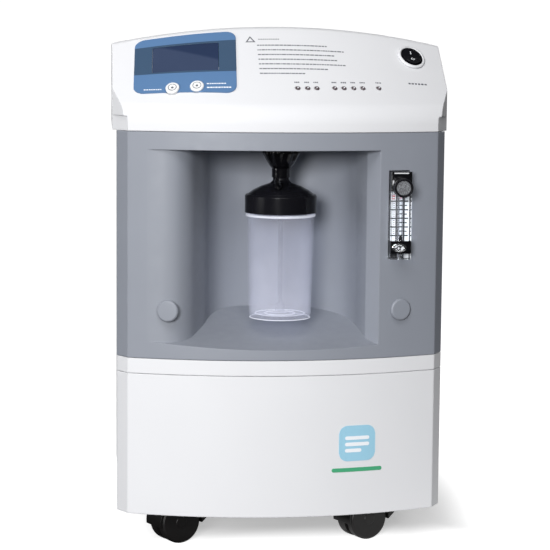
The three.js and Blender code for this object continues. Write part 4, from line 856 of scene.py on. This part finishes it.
seat = fillet([(0, 347.3), (3.7, 347.3), (3.7, 362), (2.4, 362), (2.4, 366), (0, 366)], [0, 0.4, 0.6, 0, 0.5, 0], 4)
piece("flowmeter_fitting", moved(lathe(seat, 40), tube_axis), CHROME,
      stands_for=["flowmeter_seat"])
ball = [(3.2 * math.cos(a), 369.5 + 3.2 * math.sin(a)) for a in np.radians(np.linspace(-90, 90, 17))]
piece("float_ball", moved(lathe(ball, 32), tube_axis), BLACK, "flow_float", ["flow_float"])

BARS = [372.5 + 9.5 * i for i in range(5)]  # heights of the scale's long bars
ticks = [on_scale(117.2, 135.4, z - 0.75, z + 0.75, 0.24) for z in BARS]
ticks += [on_scale(122, 134, z + 4.1, z + 5.4, 0.24) for z in BARS]
ticks += [on_scale(118.6, 120.4, z - 0.3, z + 0.3, 0.2) for z in np.arange(BARS[0], 418, 2.375)]
# painted shade: two dark lines on the scale stand for the bore's edges, darkened by refraction in the acrylic
bore_shade_lines = [on_scale(x - 0.9, x + 0.9, 364.3, 421, 0.26) for x in (122.2, 130.8)]
piece("flow_ticks_and_bore_shade", merged(*ticks, *bore_shade_lines), BLACK_PRINT, weighted=False)
reds = [on_scale(x, x + 3, z, z + 1.3, 0.16)
        for x, z in ((117.5, 412.5), (117.5, 415.5), (124.5, 413), (124.5, 416))]
piece("flow_red_zone", merged(*reds), RED_PRINT, weighted=False)


def fluted(r, z, a):
    return r - 0.4 * (0.5 + 0.5 * math.cos(36 * a)) if r > 10 and 2.4 < z < 13.4 else r


knob = fillet([(0, -14), (3.8, -14), (3.8, 1), (9, 1), (10.5, 2.3), (10.5, 2.6), (10.5, 13.2), (10.5, 13.6),
               (9.9, 15), (8.6, 15), (8.1, 12.8), (0, 12.8)], [0, 0.3, 0, 0.3, 0, 0, 0, 0.4, 0.4, 0.4, 0, 0], 3)
piece("knob_grip", moved(lathe(knob, 216, fluted), knob_axis), BLACK, "flow_knob", ["flow_knob"])
piece("knob_disc", moved(lathe([(0, 12.7), (7.9, 12.7), (7.9, 13.2), (7.6, 13.4), (0, 13.5)], 48), knob_axis), FACE,
      "flow_knob")


# ------------------------------------------------------------------ humidifier

at = place(*BOTTLE)
jar = fillet([(0, 279), (24.5, 276.5), (29.5, 276.5), (34.6, 281.6), (37, 390), (38.6, 391), (38.6, 393), (36, 394),
              (36, 405), (34, 405), (34, 392), (32.3, 281), (0, 281.5)],
             [0, 1.5, 3, 4.5, 0.8, 0.8, 0.8, 0.4, 0.6, 0.6, 2, 6, 0], 5)
piece("humidifier_bottle", moved(lathe(jar, 96), at), JAR, "humidifier_jar", ["humidifier_jar"])
rings = [lathe([(r - w, z), (r, z + 0.7), (r + w, z), (r, z - 0.3), (r - w, z)], 64)
         for r, z, w in ((17, 281.8, 0.6), (27.5, 281.9, 0.8), (33.4, 277.6, 0.9))]
lip = fillet([(36.1, 390.6), (38.8, 391), (38.8, 393.2), (36.1, 393.6)], [0, 0.8, 0.8, 0], 4, closed=True)
piece("bottle_lip", moved(lathe(np.concatenate([lip, lip[:1]]), 96), at), LIP, "humidifier_jar")
piece("bottle_rings", moved(merged(*rings), at), LIP, "humidifier_jar")

lid = fillet([(2.9, 443), (9, 443), (9, 431), (12, 427.8), (22, 424.5), (31, 420), (35.6, 416.6), (36.6, 415.3),
              (38.4, 415.5), (40, 413.6), (40, 395), (37.4, 395), (36.8, 408), (24, 414), (2.9, 416)],
             [0.4, 0.8, 3, 3, 6, 6, 0.7, 0.5, 0.7, 1.0, 0.6, 0.3, 1, 2, 0.5], 4, closed=True)
lid_obj = mesh_object("humidifier_cover", moved(lathe(np.concatenate([lid, lid[:1]]), 96), at))
spout_at = at @ turn("Z", -14) @ place(0, -24, 422.5) @ turn("X", 48)
combine(lid_obj, "DIFFERENCE", moved(rod(2.4, -20, 30, 24), spout_at))
finish(lid_obj, BLACK, stands_for=["humidifier_lid"])

barb = [(1.3, 3.6), (4.6, 3.6), (4.6, 6), (2.4, 6)]
for i in range(3):
    barb += [(3.1, 7 + 3.4 * i), (2.3, 10.4 + 3.4 * i)]
barb += [(1.3, 18.5), (1.3, 3.6)]
piece("spout", moved(lathe(fillet(barb, 0.25, 3), 40), spout_at), GLOSS, stands_for=["outlet_spout"])


def ribbed(r, z, a):
    if r < 12.5 or z < 447:
        return r
    return r - 2.2 * min(1, (z - 447) / 10) * (0.5 + 0.5 * math.cos(8 * a)) ** 3


cone = [(10.4 + 10.6 * t ** 0.8, 444 + 17 * t) for t in np.linspace(0, 1, 14)]
nut = [(9.3, 434), (10.4, 434), *cone, (21, 463.4), (20.4, 464), (13, 464), (9.3, 450), (9.3, 434)]
piece("coupling_nut", moved(lathe(fillet(nut, 0.35, 2), 192, ribbed), at), GLOSS, "wing_nut",
      ["wing_nut"])


# ------------------------------------------------------------------ casters

WHEEL_R, TRAIL, CASTER_TURN = 25.0, 12.0, 24.8
AXLE = place(-TRAIL, 0, WHEEL_R)
STEMS = {"front_left": (-100, -22), "front_right": (122, -22), "rear_left": (-100, 132), "rear_right": (122, 132)}


def axle_shape(profile, segments, side):
    """Turns a profile about the axle; side -1 is the front disc, 1 the rear one."""
    verts, faces = moved(lathe(profile, segments), turn("X", 90))
    return verts * (1, -1 if side > 0 else 1, 1), faces


def hood_shape():
    hood_r = WHEEL_R + 3.6
    outline = [*arc(-TRAIL, WHEEL_R, hood_r, 188, 62, 28), (8, 57), (20, 54), (26, 47), (27.5, 38), (24, 30),
               (14.6, 22)]
    outline = fillet(outline, [0] * 29 + [3, 6, 6, 5, 5, 1], 4, closed=True)
    hood = mesh_object("hood", prism_y(outline, -17.5, 17.5))
    rounder = [(-17.5, 0), (17.5, 0), (17.5, 44), (13.5, 52), (8, 57), (-8, 57), (-13.5, 52), (-17.5, 44)]
    combine(hood, "INTERSECT", prism_x(rounder, -60, 60))
    bevel(hood, 1.6, 3, 35)
    wells = [moved(axle_shape([(0, 3.2), (26.8, 3.2), (26.8, 24), (0, 24)], 72, side), AXLE) for side in (-1, 1)]
    combine(hood, "DIFFERENCE", *wells)
    web = mesh_object("web", moved(rod(hood_r - 2, -3, 3, 72), AXLE @ turn("X", 90)))
    combine(web, "INTERSECT", block(-60, 60, -5, 5, 11, 60))
    combine(hood, "UNION", shape_of(web), rod(5.5, 50, 82, 32))
    combine(hood, "DIFFERENCE", moved(rod(3.4, -10, 10, 32), AXLE @ turn("X", 90)))
    return shape_of(hood)


tread = fillet([(0, 3.6), (8, 3.6), (9, 5), (23.8, 5), (25, 6.4), (25, 14.4), (22.6, 16.6), (7, 16.3), (6.4, 16.9),
                (0, 17.2)], [0, 0.3, 0.3, 0.5, 0.8, 2.0, 1.2, 0.5, 0.4, 0], 4)
hood = hood_shape()
wheels = merged(axle_shape(tread, 96, -1), axle_shape(tread, 96, 1), moved(rod(3, -8, 8, 32), turn("X", 90)))
for word, (x, y) in STEMS.items():
    at = place(x, y) @ turn("Z", CASTER_TURN)
    piece(f"caster_cover_{word}", moved(hood, at), CASTER, f"caster_hood_{word}",
          [f"caster_hood_{word}"])
    piece(f"caster_discs_{word}", moved(wheels, at @ AXLE), TREAD,
          f"caster_wheels_{word}", [f"caster_wheels_{word}"])


# ------------------------------------------------------------------ CAD nodes that stay as they are

KEPT = {
    WHITE: ["rear_cover", "filter_door"], BOARD: ["display_board", "control_board"], SCALE: ["flowmeter_scale"],
    DULL_BLACK: ["flowmeter_block", "power_inlet", "breaker_body", "fan_frame", "fan_rotor"],
    RED: ["breaker_button"], RUBBER: ["lid_gasket", "rubber_mount_left", "rubber_mount_right"], DIP: ["dip_tube"],
    CHROME: ["outlet_fitting"], PAINTED: ["chassis_base"], FOAM: ["intake_filter"], CAST: ["compressor"],
    ALUMINIUM: ["compressor_head_left", "compressor_head_right", "sieve_tower_left", "sieve_tower_right",
                "product_tank", "valve_block"],
    HOSE: ["hose_product", "hose_humidifier"],
}
for material, nodes in KEPT.items():
    for name in nodes:
        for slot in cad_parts[name].material_slots:
            slot.material = material


# ------------------------------------------------------------------ studio

SHADE_AT, SHADE_HALF = (0.065, 0.17, 0.0), (0.155, 0.14, 0.0)
BOUNCE_AT = (0.42, 0.0, 0.0)


def floor_material():
    """A pale floor that glows white, with painted shade where the glow drops in a box under the cabinet, and lights
    it softly from the right.
    """
    made, tree = new_material("pale floor")
    coords = add(tree, "TexCoord").outputs["Object"]
    noise = add(tree, "TexNoise", {"Vector": coords, "Scale": 3.0, "Detail": 3.0})
    tone = add(tree, "MapRange", {"Value": noise.outputs["Fac"], "To Min": 0.86, "To Max": 0.9})
    diffuse = add(tree, "BsdfDiffuse", {"Color": tone.outputs[0]})
    from_shade = add(tree, "VectorMath", {0: coords, 1: SHADE_AT}, operation="SUBTRACT")
    apart = add(tree, "VectorMath", {0: from_shade.outputs[0]}, operation="ABSOLUTE")
    outside = add(tree, "VectorMath", {0: apart.outputs[0], 1: SHADE_HALF}, operation="SUBTRACT")
    split = add(tree, "SeparateXYZ", {0: outside.outputs[0]})
    away = add(tree, "Math", {0: split.outputs["X"], 1: split.outputs["Y"]}, operation="MAXIMUM")
    # painted shade: the glow seen by the camera falls to 0.38 inside the box
    rise = add(tree, "MapRange", {"Value": away.outputs[0], "From Min": -0.01, "From Max": 0.095,
                                  "To Min": 0.38, "To Max": 1.0}, interpolation_type="SMOOTHSTEP")
    glow = add(tree, "Emission", {"Color": (1, 1, 1, 1), "Strength": rise.outputs[0]})
    both = add(tree, "AddShader", {0: diffuse.outputs[0], 1: glow.outputs[0]})
    spot = add(tree, "VectorMath", {0: coords, 1: BOUNCE_AT}, operation="SUBTRACT")
    far = add(tree, "VectorMath", {0: spot.outputs[0]}, operation="LENGTH")
    patch = add(tree, "MapRange", {"Value": far.outputs["Value"], "From Min": 0.15, "From Max": 0.55,
                                   "To Min": 0.75, "To Max": 0.02}, interpolation_type="SMOOTHSTEP")
    bounce = add(tree, "Emission", {"Color": (1, 1, 1, 1), "Strength": patch.outputs[0]})
    seen = add(tree, "LightPath").outputs["Is Camera Ray"]
    chosen = add(tree, "MixShader", {0: seen, 1: bounce.outputs[0], 2: both.outputs[0]})
    add(tree, "OutputMaterial", {"Surface": chosen.outputs[0]})
    return made


floor = mesh_object("floor", loft([[(-9000, -6000, -4), (9000, -6000, -4), (9000, 60000, -4), (-9000, 60000, -4)],
                                   [(-9000, -6000, 0), (9000, -6000, 0), (9000, 60000, 0), (-9000, 60000, 0)]]))
floor.data.materials.append(floor_material())

world = bpy.data.worlds.new("studio")
bpy.context.scene.world = world
world.use_nodes = True
tree = world.node_tree
tree.nodes.clear()
seen = add(tree, "LightPath").outputs["Is Camera Ray"]
level = add(tree, "MapRange", {"Value": seen, "To Min": 0.06, "To Max": 1.05})
sky = add(tree, "Background", {"Color": (1, 1, 1, 1), "Strength": level.outputs[0]})
add(tree, "OutputWorld", {"Surface": sky.outputs[0]})


def soft_light(name, spot, target, size, power):
    data = bpy.data.lights.new(name, "AREA")
    data.shape, data.size, data.size_y, data.energy = "RECTANGLE", size[0], size[1], power
    obj = bpy.data.objects.new(name, data)
    obj.location = spot
    obj.rotation_euler = (Vector(target) - Vector(spot)).to_track_quat("-Z", "Y").to_euler()
    bpy.context.collection.objects.link(obj)
    return obj


soft_light("key", (-1.2, -3.82, 1.14), (0, 0, 0.33), (0.95, 0.95), 118)
soft_light("fill", (0.55, -3.7, 1.35), (0, 0, 0.33), (1.0, 1.0), 15)
soft_light("side", (-3.2, -1.05, 0.9), (0, 0, 0.33), (1.2, 1.2), 33)
soft_light("top", (-0.4, -1.8, 2.7), (0, -0.1, 0.5), (1.6, 1.3), 33)

all_but_floor = bpy.data.collections.new("all but the floor")
all_but_floor.objects.link(floor)
all_but_floor.collection_objects[0].light_linking.link_state = "EXCLUDE"
for side, word in ((-1, "left"), (1, "right")):
    back = soft_light(f"back_{word}", (1.7 * side, 3.3, 1.4), (0, 0, 0.33), (1.2, 1.2), 60)
    back.light_linking.receiver_collection = all_but_floor


# ------------------------------------------------------------------ camera

YAW, PITCH, ROLL = 0.1227, 0.1168, 0.0090
EYE = (-0.28046, -2.34177, 0.58711)
LENS_MM = 131.98
forward = Vector((math.sin(YAW) * math.cos(PITCH), math.cos(YAW) * math.cos(PITCH), -math.sin(PITCH)))
right = Vector((math.cos(YAW), -math.sin(YAW), 0))
up = right.cross(forward)
x_axis = right * math.cos(ROLL) + up * math.sin(ROLL)
y_axis = up * math.cos(ROLL) - right * math.sin(ROLL)
lens_data = bpy.data.cameras.new("camera")
lens_data.lens, lens_data.sensor_width, lens_data.sensor_fit = LENS_MM, 36, "HORIZONTAL"
camera = bpy.data.objects.new("camera", lens_data)
rotation = Matrix((x_axis, y_axis, -forward)).transposed()
camera.matrix_world = Matrix.Translation(EYE) @ rotation.to_4x4()
bpy.context.collection.objects.link(camera)
bpy.context.scene.camera = camera
bpy.context.scene.view_settings.view_transform = "Standard"
